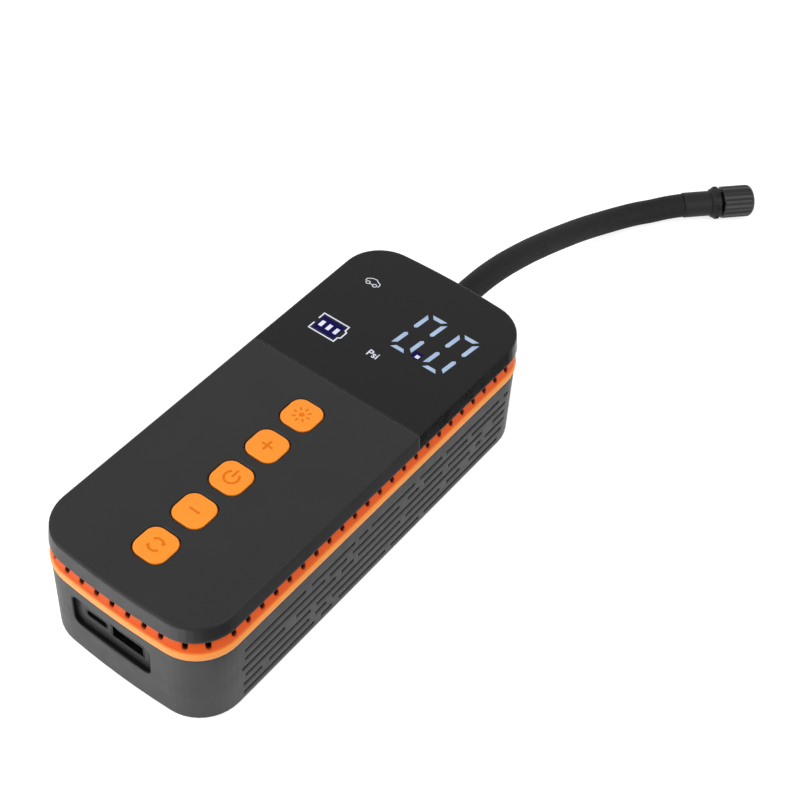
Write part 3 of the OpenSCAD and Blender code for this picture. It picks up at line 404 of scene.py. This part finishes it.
def vent_moulding(name, lip, cove, roughness, grain, specular, edge, slots):
    """The ring's moulding: painted highlight on the bulging lip, painted shade in the cove and in its
    slots.
    """
    s = Shader(name)
    painted_shade_above_lip = s.spread(s.height(), 0, 1, (LIP_TOP - LIP_BLEND) * MM, (LIP_TOP + LIP_BLEND) * MM)
    lip_painted_highlight = s.cloudy(TONE_CLOUD, lip, *LIP_TONES)
    cove_painted_shade = s.cloudy(TONE_CLOUD, cove, *COVE_TONES)
    face = s.blend(painted_shade_above_lip, lip_painted_highlight, cove_painted_shade)
    links = {"Base Color": s.painted_slot_shade(face, *slots),
             "Roughness": s.uneven(GLOSS_CLOUD, roughness, GLOSS_REACH),
             "Normal": s.bump(s.noise(*RING_GRAIN), grain, below=s.soft_edges(edge))}
    return s.surface(links, Metallic=0.0, Specular_IOR_Level=specular)


def metal(name, colour, roughness, stretch=(1, 1, 1), scratch=0.01):
    """Metal with drawn or turned scratches along the short axis of stretch."""
    s = Shader(name)
    lines = s.noise(*SCRATCHES, stretch=stretch)
    links = {"Base Color": s.cloudy(METAL_CLOUD, colour, *METAL_TONES),
             "Roughness": s.spread(lines, roughness - SCRATCH_REACH, roughness + SCRATCH_REACH),
             "Normal": s.bump(lines, scratch)}
    return s.surface(links, Metallic=1.0)


def braid_yarn(name, colour, roughness, relief, strength):
    """Black polyester yarn: fine filaments and a dull surface."""
    s = Shader(name)
    filaments = s.noise(*FILAMENTS)
    links = {"Base Color": s.cloudy(YARN_CLOUD, colour, *YARN_TONES),
             "Roughness": s.spread(filaments, *roughness),
             "Normal": s.bump(filaments, relief, strength)}
    return s.surface(links, Metallic=0.0, Specular_IOR_Level=0.2)


def board_mask(name, colour, relief):
    """Solder mask over copper: faint tracks under a glossy lacquer."""
    s = Shader(name)
    tracks = s.node("ShaderNodeTexBrick", Scale=180.0, Mortar_Size=0.03)
    s.link(s.coords, tracks.inputs["Vector"])
    links = {"Base Color": s.blend(tracks.outputs["Fac"], colour, scaled(colour, TRACK_TONE)),
             "Normal": s.bump(tracks.outputs["Fac"], relief)}
    return s.surface(links, Metallic=0.0, Roughness=0.3)


def lit(name, colour):
    """A lit figure behind the window: an even glow with a slight cloud in it."""
    s = Shader(name)
    glow = s.cloudy(GLOW_CLOUD, colour, *GLOW_TONES)
    return s.surface({"Emission Color": glow}, Base_Color=(0, 0, 0, 1), Roughness=0.35,
                     Specular_IOR_Level=0.0, Emission_Strength=1.0)


def clear(name, colour, roughness):
    s = Shader(name)
    return s.surface({"Roughness": s.uneven(CLEAR_CLOUD, roughness, CLEAR_REACH)},
                     Base_Color=(*colour, 1), Transmission_Weight=0.85, IOR=1.46)


def by_name(*shaders):
    """The materials of some shaders, by the names that were asked for."""
    return {shader.name: shader.material for shader in shaders}


CASE_GREY = (0.034, 0.034, 0.0351)
COVER_BLACK = (0.017, 0.017, 0.018)
WINDOW_BLACK = (0.0035, 0.0035, 0.004)
# The ring is one orange: paler on its lip as painted highlight, deeper in its cove as painted shade
LIP_ORANGE_PAINTED_HIGHLIGHT = (1.0, 0.355, 0.062)
COVE_ORANGE_PAINTED_SHADE = (0.77, 0.094, 0.003)
LIP_TOP = 35.5  # the height where the bulging lip ends and the cove begins: painted highlight below, painted shade above
LIP_BLEND = 0.5
BUTTON_ORANGE = (1.0, 0.285, 0.018)
ICON_ORANGE = (0.76, 0.18, 0.003)
CHUCK_BLACK = (0.009, 0.009, 0.0095)
SLEEVE_BLACK = (0.016, 0.016, 0.0163)
YARN_BLACK = (0.007, 0.0067, 0.007)

# Painted shade in slots, each as the shade colour inside, the reach and the two open shares
CASE_DASH_SHADE = ((0.003, 0.003, 0.003), 1.6, (0.5, 0.72))
RING_SLOT_SHADE = ((0.02, 0.003, 0.001), 2.2, (0.62, 0.86))

MATERIALS = by_name(
    moulded("case_grey", CASE_GREY, 0.45, grain=0.02, grain_size=0.5, specular=0.28, edge=1.4,
            slots=CASE_DASH_SHADE),
    vent_moulding("ring_orange", LIP_ORANGE_PAINTED_HIGHLIGHT, COVE_ORANGE_PAINTED_SHADE, 0.38, grain=0.006, specular=0.3, edge=1.0,
                  slots=RING_SLOT_SHADE),
    moulded("cover_black", COVER_BLACK, 0.38, grain=0.008, grain_size=0.3, specular=0.25, edge=1.4),
    moulded("window_black", WINDOW_BLACK, 0.28, grain=0.001, mottle=0.03, specular=0.22, edge=1.4),
    moulded("button_orange", BUTTON_ORANGE, 0.4, grain=0.006, mottle=0.025, specular=0.35),
    moulded("icon_orange", ICON_ORANGE, 0.5, grain=0.006, mottle=0.03, specular=0.12),
    moulded("chuck_black", CHUCK_BLACK, 0.3, grain=0.004, grain_size=0.5, specular=0.3),
    moulded("sleeve_black", SLEEVE_BLACK, 0.5, grain=0.01, grain_size=0.4, specular=0.15),
    moulded("recess_band_black", (0.004, 0.004, 0.004), 0.6, grain=0.01, specular=0.1),
    moulded("black_plastic", (0.02, 0.02, 0.021), 0.45),
    moulded("display_white", (0.5, 0.5, 0.5), 0.5),
    moulded("cell_wrap", (0.03, 0.12, 0.32), 0.25, grain=0.004),
    moulded("rubber", (0.018, 0.018, 0.018), 0.62, grain=0.02, grain_size=0.4),
    moulded("tube_clear", (0.6, 0.6, 0.57), 0.35),
    metal("steel", (0.55, 0.55, 0.56), 0.34, stretch=(0.15, 1, 1)),
    # painted shade: the socket shells' steel is darkened as if they lay deep in their holes
    metal("socket_steel_painted_shade", (0.03, 0.03, 0.031), 0.38, stretch=(1, 0.15, 1)),
    metal("nickel", (0.62, 0.6, 0.56), 0.3, stretch=(0.2, 1, 1)),
    metal("copper", (0.6, 0.26, 0.12), 0.35, stretch=(0.1, 1, 1), scratch=0.05),
    metal("brass", (0.68, 0.48, 0.2), 0.28, stretch=(0.2, 1, 1)),
    metal("black_brass", (0.014, 0.013, 0.012), 0.3),
    metal("aluminium", (0.55, 0.56, 0.57), 0.45, scratch=0.03),
    metal("chrome", (0.75, 0.75, 0.77), 0.12, scratch=0.002),
    board_mask("board_green", (0.01, 0.07, 0.03), relief=0.02),
    braid_yarn("braid", YARN_BLACK, roughness=(0.5, 0.72), relief=0.03, strength=0.7),
    clear("lamp_clear", (0.95, 0.96, 0.98), 0.2),
    lit("digit_light", (0.42, 0.54, 0.74)),
    lit("mark_light", (0.8, 0.83, 0.95)),
    lit("mark_glow", (0.012, 0.009, 0.085)),
)

# Own finishes, and on the socket shells painted shade
OWN_FINISH_AND_PAINTED_SHADE = {"usb_c_shell": "socket_steel_painted_shade", "usb_a_shell": "socket_steel_painted_shade", "chuck_body": "black_brass",
              "hose_sleeve": "sleeve_black", "chuck_collar": "sleeve_black"}


def dress_nodes():
    """Gives every CAD node the finish of its slot, or its own one where the photo shows it darker;
    the darker steel of the socket shells is painted shade.
    """
    slots = {row["node"]: row["material_slot"] for row in frame["record"]["subparts"]}
    for name, node in NODES.items():
        node.data.materials.clear()
        node.data.materials.append(MATERIALS[OWN_FINISH_AND_PAINTED_SHADE.get(name, slots[name])])


# ---------- Hose ----------

HOSE_ROUTE = [Vector(p) * MM for p in (
    (-5, 94.8, 25), (-5, 98.5, 25), (-5, 102.5, 25), (-5, 107, 24.9), (-5, 112, 24.6),
    (-4.9, 118, 24), (-4.6, 126, 22.8), (-4.2, 134, 21.1), (-3.8, 142, 19.1), (-3.2, 150, 16.9),
    (-2.6, 158, 14.5), (-1.8, 166, 12.1), (-0.8, 174, 9.8), (0.6, 181.5, 7.8), (2.6, 189, 6.1),
    (5.6, 197, 5), (9.2, 203.4, 4.9), (13, 208.4, 5.2), (17.2, 213.4, 6.1), (21.6, 218.3, 6.7))]
HOSE_DIAMETER = 9.5 * MM
BRAID_CARRIERS = 24
BRAID_LAY = 30 * MM
BRAID_DEPTH = 0.22 * MM
BRAID_SIDES = 168
BRAID_STEP = 0.24 * MM
YARN_FLATNESS = 0.6  # the power that shapes a yarn's round top; less is flatter
YARN_DIP = 0.35  # the height at which a yarn dives under another one, as a share of its full height


def smooth_path(points, step):
    """Points every step or so along a Catmull-Rom curve through the given ones."""
    ends = [2 * points[0] - points[1], *points, 2 * points[-1] - points[-2]]
    found = []
    for a, b, c, d in zip(ends, ends[1:], ends[2:], ends[3:]):
        count = max(1, round((c - b).length / step))
        for i in range(count):
            t = i / count
            found.append(0.5 * (2 * b + (c - a) * t + (2 * a - 5 * b + 4 * c - d) * t * t
                                + (3 * b - a - 3 * c + d) * t ** 3))
    found.append(points[-1])
    return found


def path_frames(path):
    """Each point of a path with its side and its up, turned as little as they can be."""
    frames = []
    side = None
    for i, point in enumerate(path):
        tangent = (path[min(i + 1, len(path) - 1)] - path[max(i - 1, 0)]).normalized()
        if side is None:
            side = tangent.cross(Vector((0, 0, 1))).normalized()
        side = (side - tangent * side.dot(tangent)).normalized()
        frames.append((point, side, side.cross(tangent)))
    return frames


def braid_height(around, along):
    """Height of a plain braid, 0 to 1, at a turn and a distance along the hose."""
    lay = along / BRAID_LAY
    u = BRAID_CARRIERS * (around + lay)
    v = BRAID_CARRIERS * (around - lay)
    over = (math.floor(u) + math.floor(v)) % 2 == 0
    across, run = (u % 1, v % 1) if over else (v % 1, u % 1)
    crown = math.sin(math.pi * across) ** YARN_FLATNESS
    arch = math.sin(math.pi * run)
    return crown * (YARN_DIP + (1 - YARN_DIP) * arch)


def braided_hose():
    """The hose's middle line, and its mesh with both ends closed."""
    path = smooth_path(HOSE_ROUTE, BRAID_STEP)
    points = []
    along = 0.0
    for i, (centre, side, up) in enumerate(path_frames(path)):
        if i:
            along += (centre - path[i - 1]).length
        for k in range(BRAID_SIDES):
            turn = k / BRAID_SIDES
            radius = HOSE_DIAMETER / 2 - BRAID_DEPTH * (1 - braid_height(turn, along))
            angle = 2 * math.pi * turn
            points.append(centre + radius * (math.cos(angle) * side + math.sin(angle) * up))
    last = (len(path) - 1) * BRAID_SIDES
    faces = []
    for ring in range(0, last, BRAID_SIDES):
        following = ring + BRAID_SIDES
        for k in range(BRAID_SIDES):
            j = (k + 1) % BRAID_SIDES
            faces.append((ring + k, following + k, following + j, ring + j))
    faces.append(tuple(range(BRAID_SIDES)))
    faces.append(tuple(last + k for k in range(BRAID_SIDES - 1, -1, -1)))
    mesh = mesh_from("braided_hose", points, faces)
    smooth(mesh)
    return path, mesh


def add_hose():
    hose_path, hose_mesh = braided_hose()
    hose = add_piece("braided_hose", hose_mesh, "housing", MATERIALS["braid"])
    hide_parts("air_hose")


# ---------- Figures and marks on the window ----------

WINDOW_TOP = node_box("display_window")[1].z
MARK_TOP = WINDOW_TOP + 0.006
MARK_FOOT = WINDOW_TOP - 0.3
GLOW_TOP = MARK_TOP - 0.003  # the glows lie under the marks

DIGIT_PLACES = [(1.46, 45.55), (15.25, 44.75)]
DIGIT_WIDTH = 8.35
DIGIT_LEAN = 0.105  # across, for each millimetre up the digit
# The segments of an upright digit, with 1.6 mm wide strokes and a height of 21 mm
LOWER_SEGMENT = [(0, 1.8), (1.6, 3.1), (1.6, 8.25), (0.8, 8.95), (0, 8.25)]
UPPER_SEGMENT = [(0, 19.9), (1.6, 18.3), (1.6, 12.85), (0.8, 12.15), (0, 12.85)]
FOOT_SEGMENT = [(1.15, 0.1), (6.65, 0.1), (5.45, 1.6), (2.4, 1.6)]
HEAD_SEGMENT = [(1.35, 21.0), (7.35, 21.0), (5.85, 19.4), (2.8, 19.4)]
DECIMAL_POINT = [(11.95, 46.45), (13.45, 46.45), (13.55, 47.95), (12.05, 47.95)]
DECIMAL_GLOW = rectangle(10.6, 46.0, 14.0, 49.3)

BATTERY = [(-23.9, 38.0), (-23.9, 34.9), (-13.2, 34.9), (-13.2, 37.0), (-12.3, 37.6), (-12.3, 40.8),
           (-13.2, 41.3), (-13.2, 43.45), (-23.9, 43.45), (-23.9, 40.4)]
BATTERY_LINE = 0.5
BATTERY_BARS = [rectangle(x, 37.7, x + 1.45, 40.5) for x in (-22.2, -19.15, -16.1)]
BATTERY_GLOW = rectangle(-23.0, 35.9, -14.0, 42.4)

CAR = [(-23.35, 65.4), (-23.45, 66.55), (-22.75, 67.1), (-21.8, 67.75), (-20.25, 67.95), (-19.2, 67.2),
       (-18.2, 66.9), (-17.8, 66.0), (-18.0, 65.2)]
CAR_SILL = [(-21.3, 65.0), (-20.05, 65.0)]
CAR_LINE = 0.32
WHEELS = [circle(0.72, 12, (x, 65.1)) for x in (-22.1, -19.25)]
WHEEL_LINE = 0.3

UNIT_TEXT = "Psi"
UNIT_PLACE = (-1.55, 37.3)
UNIT_SIZE = 4.05
UNIT_WEIGHT = 0.04
UNIT_DEPTH = 0.1


def digit_zero(x0, y0):
    """The six lit segments of a leaning seven-segment 0; the middle one is dark."""
    left = [LOWER_SEGMENT, UPPER_SEGMENT]
    right = [[(DIGIT_WIDTH - x, y) for x, y in segment] for segment in left]
    upright = [*left, FOOT_SEGMENT, HEAD_SEGMENT, *right]
    return [[(x0 + x + DIGIT_LEAN * y, y0 + y) for x, y in segment] for segment in upright]


def unit_mesh():
    text = bpy.data.curves.new("unit_mark", "FONT")
    text.body = UNIT_TEXT
    text.size = UNIT_SIZE * MM
    text.offset = UNIT_WEIGHT * MM
    text.extrude = UNIT_DEPTH * MM
    made = new_object("unit_mark", text)
    made.location = Vector((*UNIT_PLACE, MARK_TOP - UNIT_DEPTH)) * MM
    mesh = evaluated(made)
    mesh.transform(made.matrix_world)
    bpy.data.objects.remove(made)
    return mesh


def add_light(name, mesh, light):
    add_piece(name, mesh, "housing", MATERIALS[light])


def add_marks():
    """Two digits with their point, a battery, a car and the unit, and two glows."""
    digits = [segment for place in DIGIT_PLACES for segment in digit_zero(*place)]
    signs = [DECIMAL_POINT, ribbon(BATTERY, BATTERY_LINE, round_ends=False), ribbon(CAR, CAR_LINE),
             ribbon(CAR_SILL, CAR_LINE), *BATTERY_BARS]
    glows = [BATTERY_GLOW, DECIMAL_GLOW]
    add_light("window_figures", plates("window_figures", digits, MARK_FOOT, MARK_TOP), "digit_light")
    marks = plates("window_marks", signs, MARK_FOOT, MARK_TOP, WHEELS, WHEEL_LINE)
    add_light("window_marks", marks, "mark_light")
    add_light("mark_glows", plates("mark_glows", glows, MARK_FOOT, GLOW_TOP), "mark_glow")
    add_light("unit_mark", unit_mesh(), "mark_light")


# ---------- Button caps with engraved marks ----------

BUTTON_WIDTH = 12.2
BUTTON_CORNER = 4.0
BUTTON_TOP = node_box("button_power")[1].z
BUTTON_FILLET = 0.45
FILLET_STEPS = 6
FLANGE_WIDTH = 14.4
FLANGE_CORNER = 5.0
FLANGE_LEVELS = (43.7, 44.9)
CAP_SHARP = 40  # degrees

MARK_WIDTH = 0.8
ENGRAVED = 0.1
CUTTER_RISE = 0.5
DISC_RADIUS = 0.9
RAY = (2.15, 3.0)  # from and to, out from the middle
RAY_WIDTH = 0.55
PLUS_REACH = 2.1
POWER_RADIUS = 2.45
POWER_ARC = (135, 405)  # degrees
POWER_BAR = (0.6, 3.1)  # from and to, up from the middle
MINUS_REACH = 1.75
ARROW_RADIUS = 2.35
ARROW_TAIL = 154  # degrees round the mark, as are the next two
ARROW_BASE = 42
ARROW_TIP = 20
ARROW_HEAD = 0.75


def light_mark():
    """A disc with eight rays."""
    rays = [[rotated(Vector((reach, 0)), 45 * k) for reach in RAY] for k in range(8)]
    return [circle(DISC_RADIUS, 24), *[ribbon(ray, RAY_WIDTH) for ray in rays]]


def plus_mark():
    w = MARK_WIDTH / 2
    quarter = [(w, w), (w, PLUS_REACH), (-w, PLUS_REACH)]
    turns = ((1, 0), (0, 1), (-1, 0), (0, -1))
    return [[(x * c - y * s, x * s + y * c) for c, s in turns for x, y in quarter]]


def power_mark():
    """A ring that is open at its top, with a bar in the opening."""
    return [ribbon(arc(POWER_RADIUS, *POWER_ARC, 24), MARK_WIDTH),
            ribbon([(0, y) for y in POWER_BAR], MARK_WIDTH)]


def minus_mark():
    return [ribbon([(-MINUS_REACH, 0), (MINUS_REACH, 0)], MARK_WIDTH)]


def bent_arrow(turn):
    """One outline of an arrow round the mark's middle: a notched tail, an arc, and a pointed head."""
    tail, base, tip = (turn + degrees for degrees in (ARROW_TAIL, ARROW_BASE, ARROW_TIP))
    outer = arc(ARROW_RADIUS + MARK_WIDTH / 2, tail, base)
    inner = arc(ARROW_RADIUS - MARK_WIDTH / 2, base, tail)
    head = [on_circle(ARROW_RADIUS + ARROW_HEAD, base), on_circle(ARROW_RADIUS, tip),
            on_circle(ARROW_RADIUS - ARROW_HEAD, base)]
    middle = Vector(on_circle(ARROW_RADIUS, tail))
    inward = -MARK_WIDTH / 2 * middle.normalized()
    notch = [middle + rotated(inward, 180 * k / ROUND_END_STEPS) for k in range(1, ROUND_END_STEPS)]
    return [*outer, *head, *inner, *notch]


def mode_mark():
    return [bent_arrow(turn) for turn in (0, 180)]


BUTTON_MARKS = {"light": light_mark, "plus": plus_mark, "power": power_mark, "minus": minus_mark,
                "mode": mode_mark}


def button_cap(name, middle):
    """An object: a cap with a filleted rim, and a flange that stays under the cover."""
    levels = [(FLANGE_WIDTH, FLANGE_CORNER, z) for z in FLANGE_LEVELS]
    levels.append((BUTTON_WIDTH, BUTTON_CORNER, FLANGE_LEVELS[1]))
    for k in range(FILLET_STEPS + 1):
        a = math.pi / 2 * k / FILLET_STEPS
        inset = BUTTON_FILLET * (1 - math.cos(a))
        height = BUTTON_TOP - BUTTON_FILLET * (1 - math.sin(a))
        levels.append((BUTTON_WIDTH - 2 * inset, BUTTON_CORNER - inset, height))
    bm = bmesh.new()
    rings = [raised(bm, [(x, middle + y) for x, y in rounded_box(width, width, corner)], z)
             for width, corner, z in levels]
    for low, high in zip(rings, rings[1:]):
        join_rings(bm, low, high)
    bm.faces.new(rings[-1])
    bm.faces.new(rings[0][::-1])
    mesh = finished(bm, name)
    mesh.materials.append(MATERIALS["button_orange"])
    return new_object(name, mesh)


def engrave(cap, outlines, middle):
    """The mesh of a cap with a mark cut into its top. The cap's object is used up."""
    placed = [[(x, y + middle) for x, y in outline] for outline in outlines]
    cutter_mesh = plates("cutter", placed, BUTTON_TOP - ENGRAVED, BUTTON_TOP + CUTTER_RISE)
    cutter_mesh.materials.append(MATERIALS["icon_orange"])
    cutter = new_object("cutter", cutter_mesh)
    cut = cap.modifiers.new("engraving", "BOOLEAN")
    cut.operation = "DIFFERENCE"
    cut.solver = "EXACT"
    cut.material_mode = "TRANSFER"
    cut.object = cutter
    mesh = evaluated(cap)
    bpy.data.objects.remove(cap)
    bpy.data.objects.remove(cutter)
    return mesh


def add_buttons():
    for name, mark in BUTTON_MARKS.items():
        low, high = node_box(f"button_{name}")
        middle = (low.y + high.y) / 2
        mesh = engrave(button_cap(f"{name}_cap", middle), mark(), middle)
        mesh.name = f"{name}_cap"
        crisp(mesh, CAP_SHARP)
        piece = add_piece(f"{name}_cap", mesh, f"{name}_key")
        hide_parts(f"button_{name}")


# ---------- Black band round the walls of the port recess ---

CASE_END = node_box("bottom_case")[0].y
END_RADIUS = 300.0
RECESS_MIDDLE = (-2.0, 21.0)  # across and up
RECESS_SIZE = (32.4, 14.0)
RECESS_CORNER = 3.0
RECESS_BAND_WALL = 0.4
RECESS_BAND_GAP = 0.04
RECESS_BAND_BACK = 0.12  # how far its edge stays behind the face of the case
RECESS_BAND_REACH = 1.6  # how deep it goes into the recess
RECESS_BAND_SHARP = 28  # degrees


def end_face(x):
    """Where the crowned port end of the case stands, at a place across it."""
    return CASE_END + END_RADIUS - math.sqrt(END_RADIUS ** 2 - x ** 2)


def add_port_recess_band():
    """A thin black band round the walls of the port recess."""
    bm = bmesh.new()
    rings = []
    for inset in (RECESS_BAND_GAP, RECESS_BAND_GAP + RECESS_BAND_WALL):
        width, height = (size - 2 * inset for size in RECESS_SIZE)
        outline = rounded_box(width, height, RECESS_CORNER - inset)
        placed = [(RECESS_MIDDLE[0] + x, RECESS_MIDDLE[1] + z) for x, z in outline]
        deep = [(x, CASE_END + RECESS_BAND_REACH, z) for x, z in placed]
        front = [(x, end_face(x) + RECESS_BAND_BACK, z) for x, z in placed]
        rings.extend([bm.verts.new(Vector(p) * MM) for p in ring] for ring in (deep, front))
    outer_deep, outer_front, inner_deep, inner_front = rings
    join_rings(bm, outer_deep, outer_front)
    join_rings(bm, outer_front, inner_front)
    join_rings(bm, inner_front, inner_deep)
    join_rings(bm, inner_deep, outer_deep)
    mesh = finished(bm, "port_recess_band")
    crisp(mesh, RECESS_BAND_SHARP)
    add_piece("port_recess_band", mesh, "housing", MATERIALS["recess_band_black"])


# ---------- Camera ----------

CAMERA_AZIMUTH = 34.138  # degrees, from straight in front of the port end towards +X
CAMERA_ELEVATION = 47.155
CAMERA_ROLL = 4.305
CAMERA_TARGET = Vector((-4.45, 64.21, 0.0)) * MM
CAMERA_DISTANCE = 608.57 * MM
CAMERA_CLIP = 10 * MM
CAMERA_LENS = 75.49  # millimetres, on a sensor of the width below
SENSOR_WIDTH = 36.0


def make_camera():
    azimuth = math.radians(CAMERA_AZIMUTH)
    elevation = math.radians(CAMERA_ELEVATION)
    roll = math.radians(CAMERA_ROLL)
    back = Vector((math.sin(azimuth) * math.cos(elevation),
                   -math.cos(azimuth) * math.cos(elevation),
                   math.sin(elevation)))
    level_right = Vector((math.cos(azimuth), math.sin(azimuth), 0.0))
    level_up = back.cross(level_right)
    right = math.cos(roll) * level_right + math.sin(roll) * level_up
    up = -math.sin(roll) * level_right + math.cos(roll) * level_up
    data = bpy.data.cameras.new("camera")
    data.lens = CAMERA_LENS
    data.sensor_width = SENSOR_WIDTH
    data.clip_start = CAMERA_CLIP
    camera = new_object("camera", data)
    turn = Matrix((right, up, back)).transposed()
    camera.matrix_world = Matrix.Translation(CAMERA_TARGET + CAMERA_DISTANCE * back) @ turn.to_4x4()
    SCENE.camera = camera


# ---------- Light, floor and background, in metres ----------

WHITE = (1, 1, 1, 1)
SEEN_WHITE = 1.0
WORLD_LIGHT = 0.55
FLOOR_SIZE = 6.0
FLOOR_GREY = 0.6
FLOOR_GLOW = 0.72
FLAG_X = (0.058, 0.2)
FLAG_Y = (-0.2, 0.16)
FLAG_HEIGHT = 0.0005
FLAG_BLACK = 0.01

# Each lamp's name, place, the point it faces, its two sides and its power in watts
LAMPS = [
    ("key", (-0.5, -0.75, 0.75), (0, 0, 0.02), (0.7, 0.5), 7.4),
    ("fill", (0.9, 0.1, 0.6), (0, 0.02, 0.02), (0.8, 0.8), 5.0),
    ("card", (-0.02, -0.142, 0.001), (-0.02, -0.142, 1.0), (0.12, 0.045), 0.034),
]


def make_world():
    world = bpy.data.worlds.new("studio")
    SCENE.world = world
    nodes = Nodes(world, "ShaderNodeOutputWorld")
    light = nodes.node("ShaderNodeBackground", Color=WHITE, Strength=WORLD_LIGHT)
    seen = nodes.node("ShaderNodeBackground", Color=WHITE, Strength=SEEN_WHITE)
    nodes.show(nodes.seen_or_lit(light.outputs[0], seen.outputs[0]))


def painted_sheet(name, across, along, height, grey):
    """A level sheet of the stage, with its nodes and its plain paint, which nothing shows yet."""
    outline = rectangle(across[0], along[0], across[1], along[1])
    mesh = mesh_from(name, [(x, y, height) for x, y in outline], [(0, 1, 2, 3)])
    material = bpy.data.materials.new(name)
    mesh.materials.append(material)
    nodes = Nodes(material, "ShaderNodeOutputMaterial")
    paint = nodes.node("ShaderNodeBsdfDiffuse", Color=(grey, grey, grey, 1))
    return new_object(name, mesh), nodes, paint.outputs[0]


def make_floor():
    """A grey floor that glows where it is seen, so that it ends in the white background."""
    half = FLOOR_SIZE / 2
    floor, nodes, paint = painted_sheet("floor", (-half, half), (-half, half), 0, FLOOR_GREY)
    glow = nodes.node("ShaderNodeEmission", Strength=FLOOR_GLOW)
    bright = nodes.feed(nodes.node("ShaderNodeAddShader"), paint, glow.outputs[0])
    nodes.show(nodes.seen_or_lit(paint, bright))


def make_flag():
    """A black card lying beside the object, seen only in its gloss: a painted dark reflection that keeps
    the side edges deep.
    """
    flag, nodes, paint = painted_sheet("flag", FLAG_X, FLAG_Y, FLAG_HEIGHT, FLAG_BLACK)
    nodes.show(paint)
    flag.visible_camera = False
    flag.visible_diffuse = False
    flag.visible_transmission = False
    flag.visible_shadow = False


def add_lamp(name, place, target, size, power):
    data = bpy.data.lights.new(name, "AREA")
    data.shape = "RECTANGLE"
    data.size, data.size_y = size
    data.energy = power
    lamp = new_object(name, data)
    lamp.location = place
    lamp.rotation_euler = (Vector(target) - Vector(place)).to_track_quat("-Z", "Y").to_euler()


# ---------- The object and its stage ----------

make_camera()
add_hose()
dress_nodes()
add_marks()
add_buttons()
add_port_recess_band()
make_world()
make_floor()
make_flag()
for lamp_row in LAMPS:
    add_lamp(*lamp_row)
SCENE.view_settings.view_transform = "Standard"
